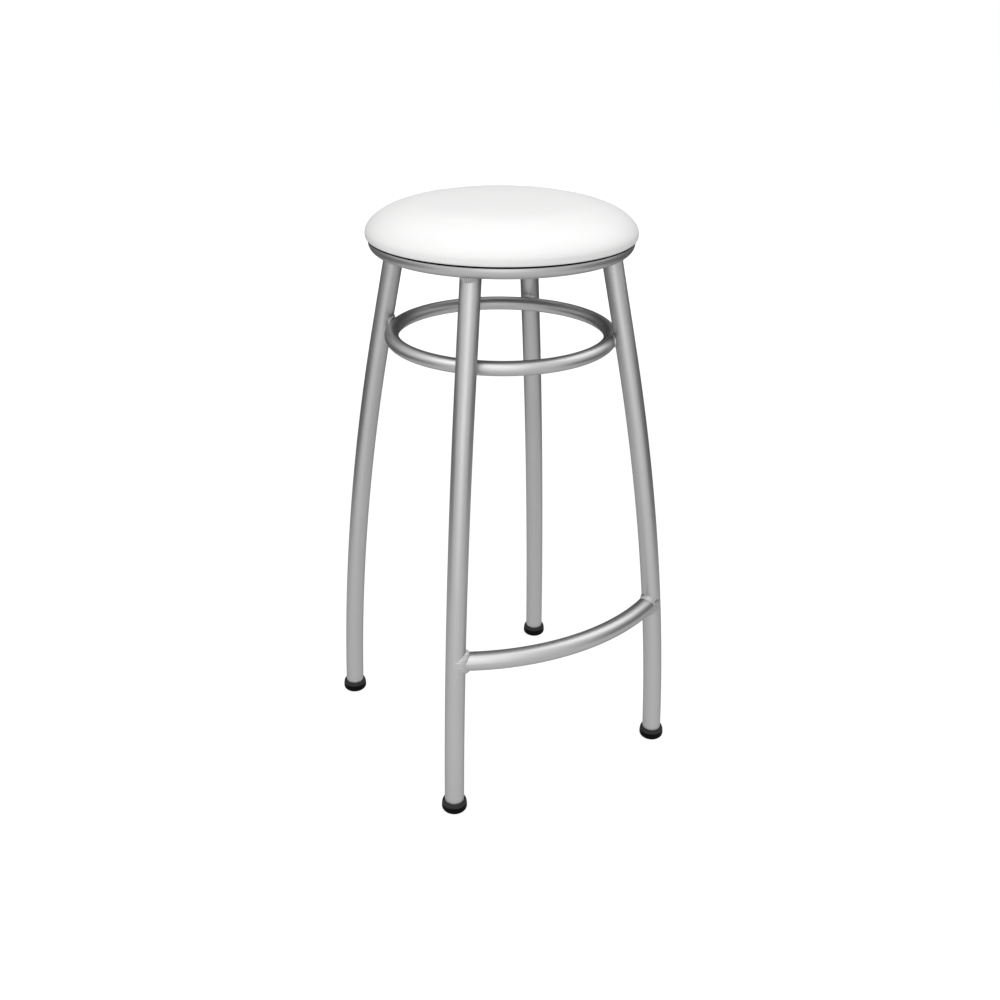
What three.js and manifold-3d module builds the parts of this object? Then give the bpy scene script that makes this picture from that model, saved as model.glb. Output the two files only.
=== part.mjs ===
// Counter stool: a round padded seat on a welded frame of four bent tube legs,
// two tube rings and a bowed footrest.
// Millimetres, +Z up. The footrest is on the -Y side.
// The origin is on the floor, in the middle of the stool's outer box.

import * as THREE from 'three';
import { mergeVertices } from 'three/addons/utils/BufferGeometryUtils.js';
import Module from 'manifold-3d';

const wasm = await Module();
wasm.setup();

const degrees = THREE.MathUtils.degToRad;

// Clearances
const FIT_GAP = 0.3;
const CUT_OVERRUN = 6;

// Top ring, the tube that carries the seat
const TOP_RING_RADIUS = 153.7;
const TOP_RING_TUBE_RADIUS = 11;
const TOP_RING_WALL = 1.5;
const TOP_RING_HEIGHT = 704;

// Legs: straight for a stretch below the top ring's centre line, then one long bend down to
// the floor
const LEG_COUNT = 4;
const LEG_FIRST_ANGLE = degrees(45);
const LEG_TUBE_RADIUS = 12.7;
const LEG_WALL = 2;
const LEG_TOP_SPLAY = degrees(11.64);
const LEG_FOOT_SPLAY = degrees(1.43);
const LEG_STRAIGHT_DROP = 129;
const LEG_COPE_DEPTH = 5.8;
const LEG_TOP_ABOVE_RING = 4;

// Lower ring, let a little way into the inner side of each leg
const LOWER_RING_DROP = 121;
const LOWER_RING_TUBE_RADIUS = 9;
const LOWER_RING_WALL = 1.5;
const LOWER_RING_NOTCH_DEPTH = 1.2;

// Vent holes in the rings, hidden under the legs: outwards in the lower ring, and in the top
// ring inwards and down
const VENT_RADIUS = 2.5;
const VENT_TILT = degrees(40);

// Footrest, a tube bent outwards between the two front legs
const FOOTREST_HEIGHT = 220;
const FOOTREST_TUBE_RADIUS = 12;
const FOOTREST_WALL = 1.5;
const FOOTREST_BOW = 38.6;

// Foot caps and the steel washers inside them
const FOOT_CAP_RADIUS = 16.7;
const FOOT_CAP_HEIGHT = 16;
const FOOT_CAP_FLOOR = 4;
const FOOT_CAP_EDGE_RADIUS = 6;
const FOOT_CAP_LIP = 1;
const FOOT_WASHER_THICKNESS = 1.5;
const FOOT_WASHER_RIM = 0.5;

// Seat pad
const COVER_THICKNESS = 1.2;
const PAD_OVERHANG = 3.7;
const PAD_WIDEST_ABOVE_RING = 1.6;
const PAD_CROWN_HEIGHT = 35.4;
const PAD_SIDE_POWER_SHARE = 0.435;
const PAD_CROWN_POWER_SHARE = 1.31;
const PAD_LIP_ANGLE = degrees(30);
const PAD_LIP_ROLL = 1.4;
const TURN_UNDER_MARGIN = 4.5;
const BOARD_THICKNESS = 12;
const BOARD_EDGE_MARGIN = 2.2;
const BASE_CLOTH_THICKNESS = 0.8;
const BASE_CLOTH_MARGIN = 1.6;

// Black gasket on the outer shoulder of the top ring
const GASKET_THICKNESS = 1.9;
const GASKET_START_ANGLE = degrees(22);

// Fixing tabs inside the top ring, with their screws, washers and tee nuts
const TAB_COUNT = 4;
const TAB_FIRST_ANGLE = 0;
const TAB_LENGTH = 30;
const TAB_WIDTH = 26;
const TAB_THICKNESS = 3;
const SCREW_RADIUS = 3;
const SCREW_HEAD_RADIUS = 6;
const SCREW_HEAD_HEIGHT = 3.6;
const SCREW_SOCKET_RADIUS = 2.3;
const SCREW_SOCKET_DEPTH = 2;
const WASHER_RADIUS = 7.5;
const WASHER_THICKNESS = 1.5;
const TEE_NUT_FLANGE_RADIUS = 9;
const TEE_NUT_FLANGE_THICKNESS = 1.5;
const TEE_NUT_BARREL_RADIUS = 4.5;
const TEE_NUT_BARREL_LENGTH = 9;

// Weld beads
const TAB_BEAD_RADIUS = 1.8;
const TAB_BEAD_END_MARGIN = 2;
const TOP_BEAD_RADIUS = 2.4;
const LOWER_BEAD_RADIUS = 2;
const FOOTREST_BEAD_RADIUS = 3.2;
const BEAD_SINK_SHARE = 0.35;
const BEAD_END_SHARE = 0.94;
const FOOTREST_BEAD_OPENING = degrees(60);
const LOWER_BEAD_OPENING = degrees(50);

// How finely the round forms are divided
const RING_SEGMENTS = 48;
const TOP_RING_SIDES = 12;
const LOWER_RING_SIDES = 10;
const BORE_SIDES = 6;
const LEG_SIDES = 16;
const LEG_BORE_SIDES = 8;
const LEG_STEPS = 10;
const FOOTREST_STEPS = 14;
const CAP_SEGMENTS = 16;
const SCREW_SEGMENTS = 10;
const CROWN_STEPS = 8;
const CROWN_INNER_STEPS = 6;
const ROUND_STEPS = 3;
const BEAD_SIDES = 6;
const BEAD_STEPS = 10;
const SEARCH_STEPS = 40;

// Materials
const paintedSteel = new THREE.MeshStandardMaterial({ color: 0xa9abac, roughness: 0.38, metalness: 0.75 });
const whiteVinyl = new THREE.MeshStandardMaterial({ color: 0xf2f2f1, roughness: 0.45, metalness: 0 });
const blackRubber = new THREE.MeshStandardMaterial({ color: 0x161616, roughness: 0.55, metalness: 0 });
const blackCloth = new THREE.MeshStandardMaterial({ color: 0x1c1c1c, roughness: 0.95, metalness: 0 });
const plywood = new THREE.MeshStandardMaterial({ color: 0xb98f5c, roughness: 0.75, metalness: 0 });
const foam = new THREE.MeshStandardMaterial({ color: 0xe9dfb4, roughness: 0.95, metalness: 0 });
const zincSteel = new THREE.MeshStandardMaterial({ color: 0xc3c5c6, roughness: 0.35, metalness: 1 });

// Sizes and heights that follow from the sizes above
const LOWER_RING_HEIGHT = TOP_RING_HEIGHT - LOWER_RING_DROP;
const LEG_BEND_START_HEIGHT = TOP_RING_HEIGHT - LEG_STRAIGHT_DROP;
const PAD_RADIUS = TOP_RING_RADIUS + TOP_RING_TUBE_RADIUS + PAD_OVERHANG;
const RING_TOP_HEIGHT = TOP_RING_HEIGHT + TOP_RING_TUBE_RADIUS;
const COVER_BOTTOM_HEIGHT = RING_TOP_HEIGHT + FIT_GAP;
const BOARD_BOTTOM_HEIGHT = COVER_BOTTOM_HEIGHT + COVER_THICKNESS + FIT_GAP;
const BOARD_TOP_HEIGHT = BOARD_BOTTOM_HEIGHT + BOARD_THICKNESS;
const CLOTH_TOP_HEIGHT = COVER_BOTTOM_HEIGHT - FIT_GAP;
const CLOTH_BOTTOM_HEIGHT = CLOTH_TOP_HEIGHT - BASE_CLOTH_THICKNESS;
const CLOTH_RADIUS = TOP_RING_RADIUS - TOP_RING_TUBE_RADIUS - BASE_CLOTH_MARGIN;
const TAB_TOP_HEIGHT = CLOTH_BOTTOM_HEIGHT - FIT_GAP;
const TAB_BOTTOM_HEIGHT = TAB_TOP_HEIGHT - TAB_THICKNESS;
const WASHER_TOP_HEIGHT = TAB_BOTTOM_HEIGHT - FIT_GAP;
const SCREW_SEAT_HEIGHT = WASHER_TOP_HEIGHT - WASHER_THICKNESS - FIT_GAP;
const FLANGE_TOP_HEIGHT = BOARD_TOP_HEIGHT;
const FLANGE_BOTTOM_HEIGHT = FLANGE_TOP_HEIGHT - TEE_NUT_FLANGE_THICKNESS;
const SCREW_TIP_HEIGHT = FLANGE_BOTTOM_HEIGHT;
const FIXING_RADIUS = TOP_RING_RADIUS - TOP_RING_TUBE_RADIUS - TAB_LENGTH + TAB_WIDTH / 2;
const LEG_BOTTOM_HEIGHT = FOOT_CAP_FLOOR + FOOT_WASHER_THICKNESS + 2 * FIT_GAP;
const LEG_TOP_HEIGHT = TOP_RING_HEIGHT + LEG_TOP_ABOVE_RING;
const LEG_HALF_WIDTH = LEG_TUBE_RADIUS / Math.cos(LEG_TOP_SPLAY);
const LEG_AXIS_AT_RING = TOP_RING_RADIUS - TOP_RING_TUBE_RADIUS - LEG_HALF_WIDTH + LEG_COPE_DEPTH;
const LEG_BEND_RADIUS = LEG_BEND_START_HEIGHT / (Math.sin(LEG_TOP_SPLAY) - Math.sin(LEG_FOOT_SPLAY));

// Distance of a leg's axis from the stool's axis at a height
function legAxisRadius(height) {
  const straightDrop = TOP_RING_HEIGHT - Math.max(height, LEG_BEND_START_HEIGHT);
  const straightRadius = LEG_AXIS_AT_RING + straightDrop * Math.tan(LEG_TOP_SPLAY);
  return straightRadius + LEG_BEND_RADIUS * (Math.cos(legSplay(height)) - Math.cos(LEG_TOP_SPLAY));
}

// Lean of a leg away from the vertical at a height
function legSplay(height) {
  const bentHeight = Math.min(height, LEG_BEND_START_HEIGHT);
  return Math.asin(Math.sin(LEG_FOOT_SPLAY) + bentHeight / LEG_BEND_RADIUS);
}

const LOWER_RING_LEG_FACE = legAxisRadius(LOWER_RING_HEIGHT)
  - LEG_TUBE_RADIUS / Math.cos(legSplay(LOWER_RING_HEIGHT));

const TOP_RING = {
  radius: TOP_RING_RADIUS,
  height: TOP_RING_HEIGHT,
  tubeRadius: TOP_RING_TUBE_RADIUS,
  wall: TOP_RING_WALL,
  sides: TOP_RING_SIDES,
};

const LOWER_RING = {
  radius: LOWER_RING_LEG_FACE + LOWER_RING_NOTCH_DEPTH - LOWER_RING_TUBE_RADIUS,
  height: LOWER_RING_HEIGHT,
  tubeRadius: LOWER_RING_TUBE_RADIUS,
  wall: LOWER_RING_WALL,
  sides: LOWER_RING_SIDES,
};

// A leg's axis in the XZ plane, from its top end to its bottom end
class LegCurve extends THREE.Curve {
  constructor(topHeight, bottomHeight) {
    super();
    this.topHeight = topHeight;
    this.bottomHeight = bottomHeight;
  }

  getPoint(share, target = new THREE.Vector3()) {
    const height = THREE.MathUtils.lerp(this.topHeight, this.bottomHeight, share);
    return target.set(legAxisRadius(height), 0, height);
  }
}

// The footrest's arc, level, from the left front leg's axis to the right one's
const FOOTREST_HALF_CHORD = legAxisRadius(FOOTREST_HEIGHT) * Math.sin(LEG_FIRST_ANGLE);
const FOOTREST_CHORD_DISTANCE = legAxisRadius(FOOTREST_HEIGHT) * Math.cos(LEG_FIRST_ANGLE);
const FOOTREST_BEND_RADIUS = (FOOTREST_HALF_CHORD ** 2 + FOOTREST_BOW ** 2) / (2 * FOOTREST_BOW);
const FOOTREST_HALF_ANGLE = Math.asin(FOOTREST_HALF_CHORD / FOOTREST_BEND_RADIUS);
const FOOTREST_CENTRE_Y = FOOTREST_BEND_RADIUS - FOOTREST_CHORD_DISTANCE - FOOTREST_BOW;

// A point beside the footrest's arc: turn is measured from the middle of the arc towards +X,
// outwards and up are distances from the arc's line
function footrestPoint(turn, outwards = 0, up = 0, target = new THREE.Vector3()) {
  const reach = FOOTREST_BEND_RADIUS + outwards;
  const y = FOOTREST_CENTRE_Y - reach * Math.cos(turn);
  return target.set(reach * Math.sin(turn), y, FOOTREST_HEIGHT + up);
}

class FootrestCurve extends THREE.Curve {
  getPoint(share, target = new THREE.Vector3()) {
    const turn = THREE.MathUtils.lerp(-FOOTREST_HALF_ANGLE, FOOTREST_HALF_ANGLE, share);
    return footrestPoint(turn, 0, 0, target);
  }
}

// Geometry helpers

// One closed surface: shared corners merged and collapsed triangles dropped
function closedSurface(geometry) {
  const bare = new THREE.BufferGeometry();
  bare.setAttribute('position', geometry.getAttribute('position'));
  if (geometry.index) bare.setIndex(geometry.index);
  const merged = mergeVertices(bare);
  const corners = merged.index.array;
  const kept = [];
  for (let first = 0; first < corners.length; first += 3) {
    const [a, b, c] = [corners[first], corners[first + 1], corners[first + 2]];
    if (a !== b && b !== c && c !== a) kept.push(a, b, c);
  }
  merged.setIndex(kept);
  return merged;
}

function solidFrom(geometry) {
  const surface = closedSurface(geometry);
  const vertProperties = new Float32Array(surface.getAttribute('position').array);
  const triVerts = new Uint32Array(surface.index.array);
  return new wasm.Manifold(new wasm.Mesh({ numProp: 3, vertProperties, triVerts }));
}

function geometryFrom(solid) {
  const { vertProperties, triVerts } = solid.getMesh();
  const geometry = new THREE.BufferGeometry();
  geometry.setAttribute('position', new THREE.BufferAttribute(new Float32Array(vertProperties), 3));
  geometry.setIndex(new THREE.BufferAttribute(new Uint32Array(triVerts), 1));
  geometry.computeVertexNormals();
  return geometry;
}

// A body turned from a profile of [radius, height] pairs, which runs up the outside
function turned(profile, segments) {
  const points = profile.map(([radius, height]) => new THREE.Vector2(radius, height));
  return new THREE.LatheGeometry(points, segments).rotateX(Math.PI / 2);
}

// Points along an oval arc in a turned profile, from its half width and half height
function ovalPoints([centreRadius, centreHeight], across, up, startAngle, endAngle, steps) {
  const points = [];
  for (let step = 0; step <= steps; step += 1) {
    const angle = THREE.MathUtils.lerp(startAngle, endAngle, step / steps);
    points.push([centreRadius + across * Math.cos(angle), centreHeight + up * Math.sin(angle)]);
  }
  return points;
}

function arcPoints(centre, radius, startAngle, endAngle, steps) {
  return ovalPoints(centre, radius, radius, startAngle, endAngle, steps);
}

// A hoop along a ring's centre line
function ringBody(ring, tubeRadius, sides) {
  const profile = arcPoints([ring.radius, ring.height], tubeRadius, 0, 2 * Math.PI, sides);
  profile[sides] = profile[0];
  return turned(profile, RING_SEGMENTS);
}

// The space that a ring's tube takes, with the fit gap round it
function ringEnvelope(ring) {
  return solidFrom(ringBody(ring, ring.tubeRadius + FIT_GAP, ring.sides));
}

function circleShape(radius, sides, holeRadius, holeSides) {
  const shape = new THREE.Shape(polygonPoints(radius, sides));
  if (holeRadius) shape.holes.push(new THREE.Path(polygonPoints(holeRadius, holeSides)));
  return shape;
}

function polygonPoints(radius, sides) {
  const points = [];
  for (let side = 0; side < sides; side += 1) {
    const angle = (2 * Math.PI * side) / sides;
    points.push(new THREE.Vector2(radius * Math.cos(angle), radius * Math.sin(angle)));
  }
  return points;
}

function swept(shape, curve, steps) {
  return new THREE.ExtrudeGeometry(shape, { steps, extrudePath: curve, bevelEnabled: false });
}

// An upright cylinder between two heights, its axis at a distance from the stool's axis along +X
function uprightCylinder(radius, lowHeight, highHeight, segments, axisRadius = 0) {
  const geometry = new THREE.CylinderGeometry(radius, radius, highHeight - lowHeight, segments);
  return geometry.rotateX(Math.PI / 2).translate(axisRadius, 0, (lowHeight + highHeight) / 2);
}

// Top and lower rings

function ventCutter(ring, tilt) {
  const length = ring.tubeRadius + CUT_OVERRUN;
  const drill = new THREE.CylinderGeometry(VENT_RADIUS, VENT_RADIUS, length, SCREW_SEGMENTS);
  drill.rotateZ(Math.PI / 2).translate(length / 2, 0, 0);
  return drill.rotateY(tilt).translate(ring.radius, 0, ring.height);
}

// A tube hoop with a vent hole at each leg
function hollowRing(ring, ventTilt) {
  const outside = solidFrom(ringBody(ring, ring.tubeRadius, ring.sides));
  const bore = solidFrom(ringBody(ring, ring.tubeRadius - ring.wall, BORE_SIDES));
  let tube = outside.subtract(bore);
  for (let leg = 0; leg < LEG_COUNT; leg += 1) {
    const vent = ventCutter(ring, ventTilt).rotateZ(legAngle(leg));
    tube = tube.subtract(solidFrom(vent));
  }
  return geometryFrom(tube);
}

// Legs

function legAngle(leg) {
  return LEG_FIRST_ANGLE + (2 * Math.PI * leg) / LEG_COUNT;
}

// The space that a leg's tube takes, with a gap round it, a little longer at both ends
function legEnvelope(gap) {
  const curve = new LegCurve(LEG_TOP_HEIGHT + CUT_OVERRUN, LEG_BOTTOM_HEIGHT - gap);
  return solidFrom(swept(circleShape(LEG_TUBE_RADIUS + gap, LEG_SIDES), curve, LEG_STEPS));
}

// The bore runs through, the top is coped to the top ring with nothing left above the ring's side,
// the inner side is notched for the lower ring and the foot is cut level
function legTube() {
  const curve = new LegCurve(LEG_TOP_HEIGHT, LEG_BOTTOM_HEIGHT - CUT_OVERRUN);
  const boreRadius = LEG_TUBE_RADIUS - LEG_WALL;
  const section = circleShape(LEG_TUBE_RADIUS, LEG_SIDES, boreRadius, LEG_BORE_SIDES);
  const axisAtFloor = legAxisRadius(0);
  const below = uprightCylinder(FOOT_CAP_RADIUS, -CUT_OVERRUN, LEG_BOTTOM_HEIGHT, LEG_SIDES, axisAtFloor);
  const cope = ringEnvelope(TOP_RING);
  const aboveCope = cope.translate([0, 0, LEG_TOP_ABOVE_RING]);
  const leg = solidFrom(swept(section, curve, LEG_STEPS)).subtract(cope).subtract(aboveCope);
  return geometryFrom(leg.subtract(ringEnvelope(LOWER_RING)).subtract(solidFrom(below)));
}

// Footrest

// The leg envelope placed at one of the front legs: side is -1 for the left and 1 for the right
function frontLegEnvelope(side, gap) {
  const turn = -Math.PI / 2 + side * LEG_FIRST_ANGLE;
  return legEnvelope(gap).rotate([0, 0, THREE.MathUtils.radToDeg(turn)]);
}

function footrestTube() {
  const boreRadius = FOOTREST_TUBE_RADIUS - FOOTREST_WALL;
  const section = circleShape(FOOTREST_TUBE_RADIUS, LEG_SIDES, boreRadius, LEG_BORE_SIDES);
  let tube = solidFrom(swept(section, new FootrestCurve(), FOOTREST_STEPS));
  for (const side of [-1, 1]) tube = tube.subtract(frontLegEnvelope(side, FIT_GAP));
  return geometryFrom(tube);
}

function footrestEnvelope(gap) {
  const section = circleShape(FOOTREST_TUBE_RADIUS + gap, LEG_SIDES);
  return solidFrom(swept(section, new FootrestCurve(), FOOTREST_STEPS));
}

// Foot caps and their washers, at the foot of the leg in the XZ plane

const FOOT_AXIS_RADIUS = legAxisRadius(FOOT_CAP_HEIGHT / 2);

// A squat ball with a flat under it and a mouth that closes round the tube
function footCap() {
  const pocketRadius = LEG_TUBE_RADIUS + FIT_GAP;
  const mouthRadius = pocketRadius + FOOT_CAP_LIP;
  const edgeCentre = [FOOT_CAP_RADIUS - FOOT_CAP_EDGE_RADIUS, FOOT_CAP_EDGE_RADIUS];
  const edge = arcPoints(edgeCentre, FOOT_CAP_EDGE_RADIUS, -Math.PI / 2, 0, ROUND_STEPS);
  const mouthDepth = FOOT_CAP_RADIUS - mouthRadius;
  const rise = FOOT_CAP_HEIGHT - FOOT_CAP_EDGE_RADIUS;
  const widest = [mouthRadius, FOOT_CAP_EDGE_RADIUS];
  const shoulder = ovalPoints(widest, mouthDepth, rise, 0, Math.PI / 2, ROUND_STEPS);
  const profile = [[0, 0], ...edge, ...shoulder.slice(1), [0, FOOT_CAP_HEIGHT]];
  const body = solidFrom(turned(profile, CAP_SEGMENTS).translate(FOOT_AXIS_RADIUS, 0, 0));
  const wellTop = FOOT_CAP_HEIGHT / 2;
  const well = uprightCylinder(pocketRadius, FOOT_CAP_FLOOR, wellTop, LEG_SIDES, FOOT_AXIS_RADIUS);
  return geometryFrom(body.subtract(solidFrom(well)).subtract(legEnvelope(FIT_GAP)));
}

function footWasher() {
  const low = FOOT_CAP_FLOOR + FIT_GAP;
  const radius = LEG_TUBE_RADIUS - FOOT_WASHER_RIM;
  return uprightCylinder(radius, low, low + FOOT_WASHER_THICKNESS, LEG_SIDES, FOOT_AXIS_RADIUS);
}

// Seat pad

const RING_SECTION_CENTRE = [TOP_RING_RADIUS, TOP_RING_HEIGHT];
const PAD_WIDEST_HEIGHT = RING_TOP_HEIGHT + PAD_WIDEST_ABOVE_RING;
const GASKET_INNER_REACH = TOP_RING_TUBE_RADIUS + FIT_GAP;
const GASKET_OUTER_REACH = GASKET_INNER_REACH + GASKET_THICKNESS;
const LIP_REACH = GASKET_OUTER_REACH + FIT_GAP;
const BOARD_RADIUS = crownRadiusAt(BOARD_TOP_HEIGHT, COVER_THICKNESS) - BOARD_EDGE_MARGIN;

// Radius of the crown at a height above the widest line, drawn in by a depth below the outer skin
function crownRadiusAt(height, depth) {
  const riseShare = (height - PAD_WIDEST_HEIGHT) / (PAD_CROWN_HEIGHT - depth);
  const angle = Math.asin(riseShare ** (1 / PAD_CROWN_POWER_SHARE));
  return (PAD_RADIUS - depth) * Math.cos(angle) ** PAD_SIDE_POWER_SHARE;
}

// The crown from its rim inwards to the axis, drawn in by a depth below the outer skin
function crownPoints(depth, steps) {
  const points = [];
  for (let step = 0; step <= steps; step += 1) {
    const angle = (Math.PI / 2) * (step / steps);
    const radius = (PAD_RADIUS - depth) * Math.cos(angle) ** PAD_SIDE_POWER_SHARE;
    const rise = (PAD_CROWN_HEIGHT - depth) * Math.sin(angle) ** PAD_CROWN_POWER_SHARE;
    points.push([step === steps ? 0 : radius, PAD_WIDEST_HEIGHT + rise]);
  }
  return points;
}

// The hollow above the ring's shoulder: an arc round the ring's tube, from the level underside
// out to the lip, or to a depth inside it
function shoulderPoints(reach, levelHeight, steps, lipDepth = 0) {
  const levelAngle = Math.asin((levelHeight - TOP_RING_HEIGHT) / reach);
  const lipAngle = PAD_LIP_ANGLE + lipDepth / reach;
  return arcPoints(RING_SECTION_CENTRE, reach, levelAngle, lipAngle, steps);
}

// The roll at the foot of the pad's side, between the shoulder hollow and the widest line
function lipPoint() {
  const [radius, height] = shoulderPoints(LIP_REACH + PAD_LIP_ROLL, COVER_BOTTOM_HEIGHT, 1)[1];
  return [radius, height - PAD_LIP_ROLL / 2];
}

function seatCover() {
  const turnUnderRadius = FIXING_RADIUS + SCREW_RADIUS + TURN_UNDER_MARGIN;
  const innerLevel = COVER_BOTTOM_HEIGHT + COVER_THICKNESS;
  const outside = [
    [turnUnderRadius, COVER_BOTTOM_HEIGHT],
    ...shoulderPoints(LIP_REACH, COVER_BOTTOM_HEIGHT, 2),
    lipPoint(),
    ...crownPoints(0, CROWN_STEPS),
  ];
  const inside = [
    [turnUnderRadius, innerLevel],
    ...shoulderPoints(LIP_REACH + COVER_THICKNESS, innerLevel, 1, COVER_THICKNESS),
    ...crownPoints(COVER_THICKNESS, CROWN_INNER_STEPS),
  ];
  return turned([...inside.reverse(), ...outside], RING_SEGMENTS);
}

function seatFoam() {
  const depth = COVER_THICKNESS + 2 * FIT_GAP;
  const reach = LIP_REACH + COVER_THICKNESS + FIT_GAP;
  const profile = [
    [0, BOARD_TOP_HEIGHT + FIT_GAP],
    [BOARD_RADIUS + FIT_GAP, BOARD_TOP_HEIGHT + FIT_GAP],
    ...shoulderPoints(reach, BOARD_BOTTOM_HEIGHT, 1, depth + FIT_GAP),
    ...crownPoints(depth, CROWN_INNER_STEPS),
  ];
  return turned(profile, RING_SEGMENTS);
}

// A round plate on the stool's axis between two heights
function roundPlate(radius, lowHeight, highHeight) {
  return solidFrom(uprightCylinder(radius, lowHeight, highHeight, RING_SEGMENTS));
}

// A round hole at the fixing in the XZ plane, with the fit gap round what goes through it
function fixingHole(radius, lowHeight, highHeight) {
  return uprightCylinder(radius + FIT_GAP, lowHeight, highHeight, SCREW_SEGMENTS, FIXING_RADIUS);
}

function withFixingHoles(plate, radius, lowHeight, highHeight) {
  let pierced = plate;
  for (let tab = 0; tab < TAB_COUNT; tab += 1) {
    const hole = fixingHole(radius, lowHeight, highHeight).rotateZ(tabAngle(tab));
    pierced = pierced.subtract(solidFrom(hole));
  }
  return pierced;
}

// Each fixing has a through hole for the tee nut's barrel and a sink for its flange
function seatBoard() {
  const below = BOARD_BOTTOM_HEIGHT - CUT_OVERRUN;
  const above = BOARD_TOP_HEIGHT + CUT_OVERRUN;
  const sinkFloor = FLANGE_BOTTOM_HEIGHT - FIT_GAP;
  const board = roundPlate(BOARD_RADIUS, BOARD_BOTTOM_HEIGHT, BOARD_TOP_HEIGHT);
  const sunk = withFixingHoles(board, TEE_NUT_FLANGE_RADIUS, sinkFloor, above);
  return geometryFrom(withFixingHoles(sunk, TEE_NUT_BARREL_RADIUS, below, above));
}

function baseCloth() {
  const below = CLOTH_BOTTOM_HEIGHT - CUT_OVERRUN;
  const above = CLOTH_TOP_HEIGHT + CUT_OVERRUN;
  const cloth = roundPlate(CLOTH_RADIUS, CLOTH_BOTTOM_HEIGHT, CLOTH_TOP_HEIGHT);
  return geometryFrom(withFixingHoles(cloth, SCREW_RADIUS, below, above));
}

// It lies on the ring's shoulder and ends where its outer face meets the pad's level underside
function ringGasket() {
  const endAngle = Math.asin((CLOTH_TOP_HEIGHT - TOP_RING_HEIGHT) / GASKET_OUTER_REACH);
  const profile = [
    ...arcPoints(RING_SECTION_CENTRE, GASKET_OUTER_REACH, GASKET_START_ANGLE, endAngle, ROUND_STEPS),
    ...arcPoints(RING_SECTION_CENTRE, GASKET_INNER_REACH, endAngle, GASKET_START_ANGLE, ROUND_STEPS),
  ];
  return turned([...profile, profile[0]], RING_SEGMENTS);
}

// Fixing tabs and fasteners, in the XZ plane and turned to their places in the assembly

function tabAngle(tab) {
  return TAB_FIRST_ANGLE + (2 * Math.PI * tab) / TAB_COUNT;
}

// A plate with a rounded inner end, coped to the inner side of the top ring
function fixingTab() {
  const halfWidth = TAB_WIDTH / 2;
  const shape = new THREE.Shape();
  shape.moveTo(TOP_RING_RADIUS, -halfWidth);
  shape.lineTo(TOP_RING_RADIUS, halfWidth);
  shape.lineTo(FIXING_RADIUS, halfWidth);
  shape.absarc(FIXING_RADIUS, 0, halfWidth, Math.PI / 2, (3 * Math.PI) / 2, false);
  const options = { depth: TAB_THICKNESS, bevelEnabled: false, curveSegments: BORE_SIDES };
  const plate = new THREE.ExtrudeGeometry(shape, options).translate(0, 0, TAB_BOTTOM_HEIGHT);
  const hole = fixingHole(SCREW_RADIUS, TAB_BOTTOM_HEIGHT - CUT_OVERRUN, TAB_TOP_HEIGHT + CUT_OVERRUN);
  return geometryFrom(solidFrom(plate).subtract(ringEnvelope(TOP_RING)).subtract(solidFrom(hole)));
}

// A button head with a hexagon socket under a plain shank
function seatScrew() {
  const headCentre = [0, SCREW_SEAT_HEIGHT];
  const profile = [
    ...ovalPoints(headCentre, SCREW_HEAD_RADIUS, SCREW_HEAD_HEIGHT, -Math.PI / 2, 0, ROUND_STEPS),
    [SCREW_RADIUS, SCREW_SEAT_HEIGHT],
    [SCREW_RADIUS, SCREW_TIP_HEIGHT],
    [0, SCREW_TIP_HEIGHT],
  ];
  const body = solidFrom(turned(profile, SCREW_SEGMENTS).translate(FIXING_RADIUS, 0, 0));
  const headBottom = SCREW_SEAT_HEIGHT - SCREW_HEAD_HEIGHT;
  const socketFloor = headBottom + SCREW_SOCKET_DEPTH;
  const below = headBottom - CUT_OVERRUN;
  const socket = uprightCylinder(SCREW_SOCKET_RADIUS, below, socketFloor, BORE_SIDES, FIXING_RADIUS);
  return geometryFrom(body.subtract(solidFrom(socket)));
}

function seatWasher() {
  const hole = SCREW_RADIUS + FIT_GAP;
  const low = WASHER_TOP_HEIGHT - WASHER_THICKNESS;
  const profile = [
    [hole, low],
    [WASHER_RADIUS, low],
    [WASHER_RADIUS, WASHER_TOP_HEIGHT],
    [hole, WASHER_TOP_HEIGHT],
  ];
  return turned([...profile, profile[0]], SCREW_SEGMENTS).translate(FIXING_RADIUS, 0, 0);
}

function teeNut() {
  const bore = SCREW_RADIUS + FIT_GAP;
  const barrelBottom = FLANGE_BOTTOM_HEIGHT - TEE_NUT_BARREL_LENGTH;
  const profile = [
    [bore, barrelBottom],
    [TEE_NUT_BARREL_RADIUS, barrelBottom],
    [TEE_NUT_BARREL_RADIUS, FLANGE_BOTTOM_HEIGHT],
    [TEE_NUT_FLANGE_RADIUS, FLANGE_BOTTOM_HEIGHT],
    [TEE_NUT_FLANGE_RADIUS, FLANGE_TOP_HEIGHT],
    [bore, FLANGE_TOP_HEIGHT],
  ];
  return turned([...profile, profile[0]], SCREW_SEGMENTS).translate(FIXING_RADIUS, 0, 0);
}

// Weld beads

// The value between low and high where a rising function passes zero
function crossing(low, high, rises) {
  let [below, above] = [low, high];
  for (let step = 0; step < SEARCH_STEPS; step += 1) {
    const middle = (below + above) / 2;
    if (rises(middle) > 0) above = middle;
    else below = middle;
  }
  return (below + above) / 2;
}

// Distance of a point from a ring's centre line
function ringDistance(point, ring) {
  return Math.hypot(Math.hypot(point.x, point.y) - ring.radius, point.z - ring.height);
}

// Distance of a point from the axis of the leg in the XZ plane
function legDistance(point) {
  const across = (point.x - legAxisRadius(point.z)) * Math.cos(legSplay(point.z));
  return Math.hypot(across, point.y);
}

function beadSolid(points, radius) {
  const curve = new THREE.CatmullRomCurve3(points);
  return solidFrom(swept(circleShape(radius, BEAD_SIDES), curve, BEAD_STEPS));
}

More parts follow.
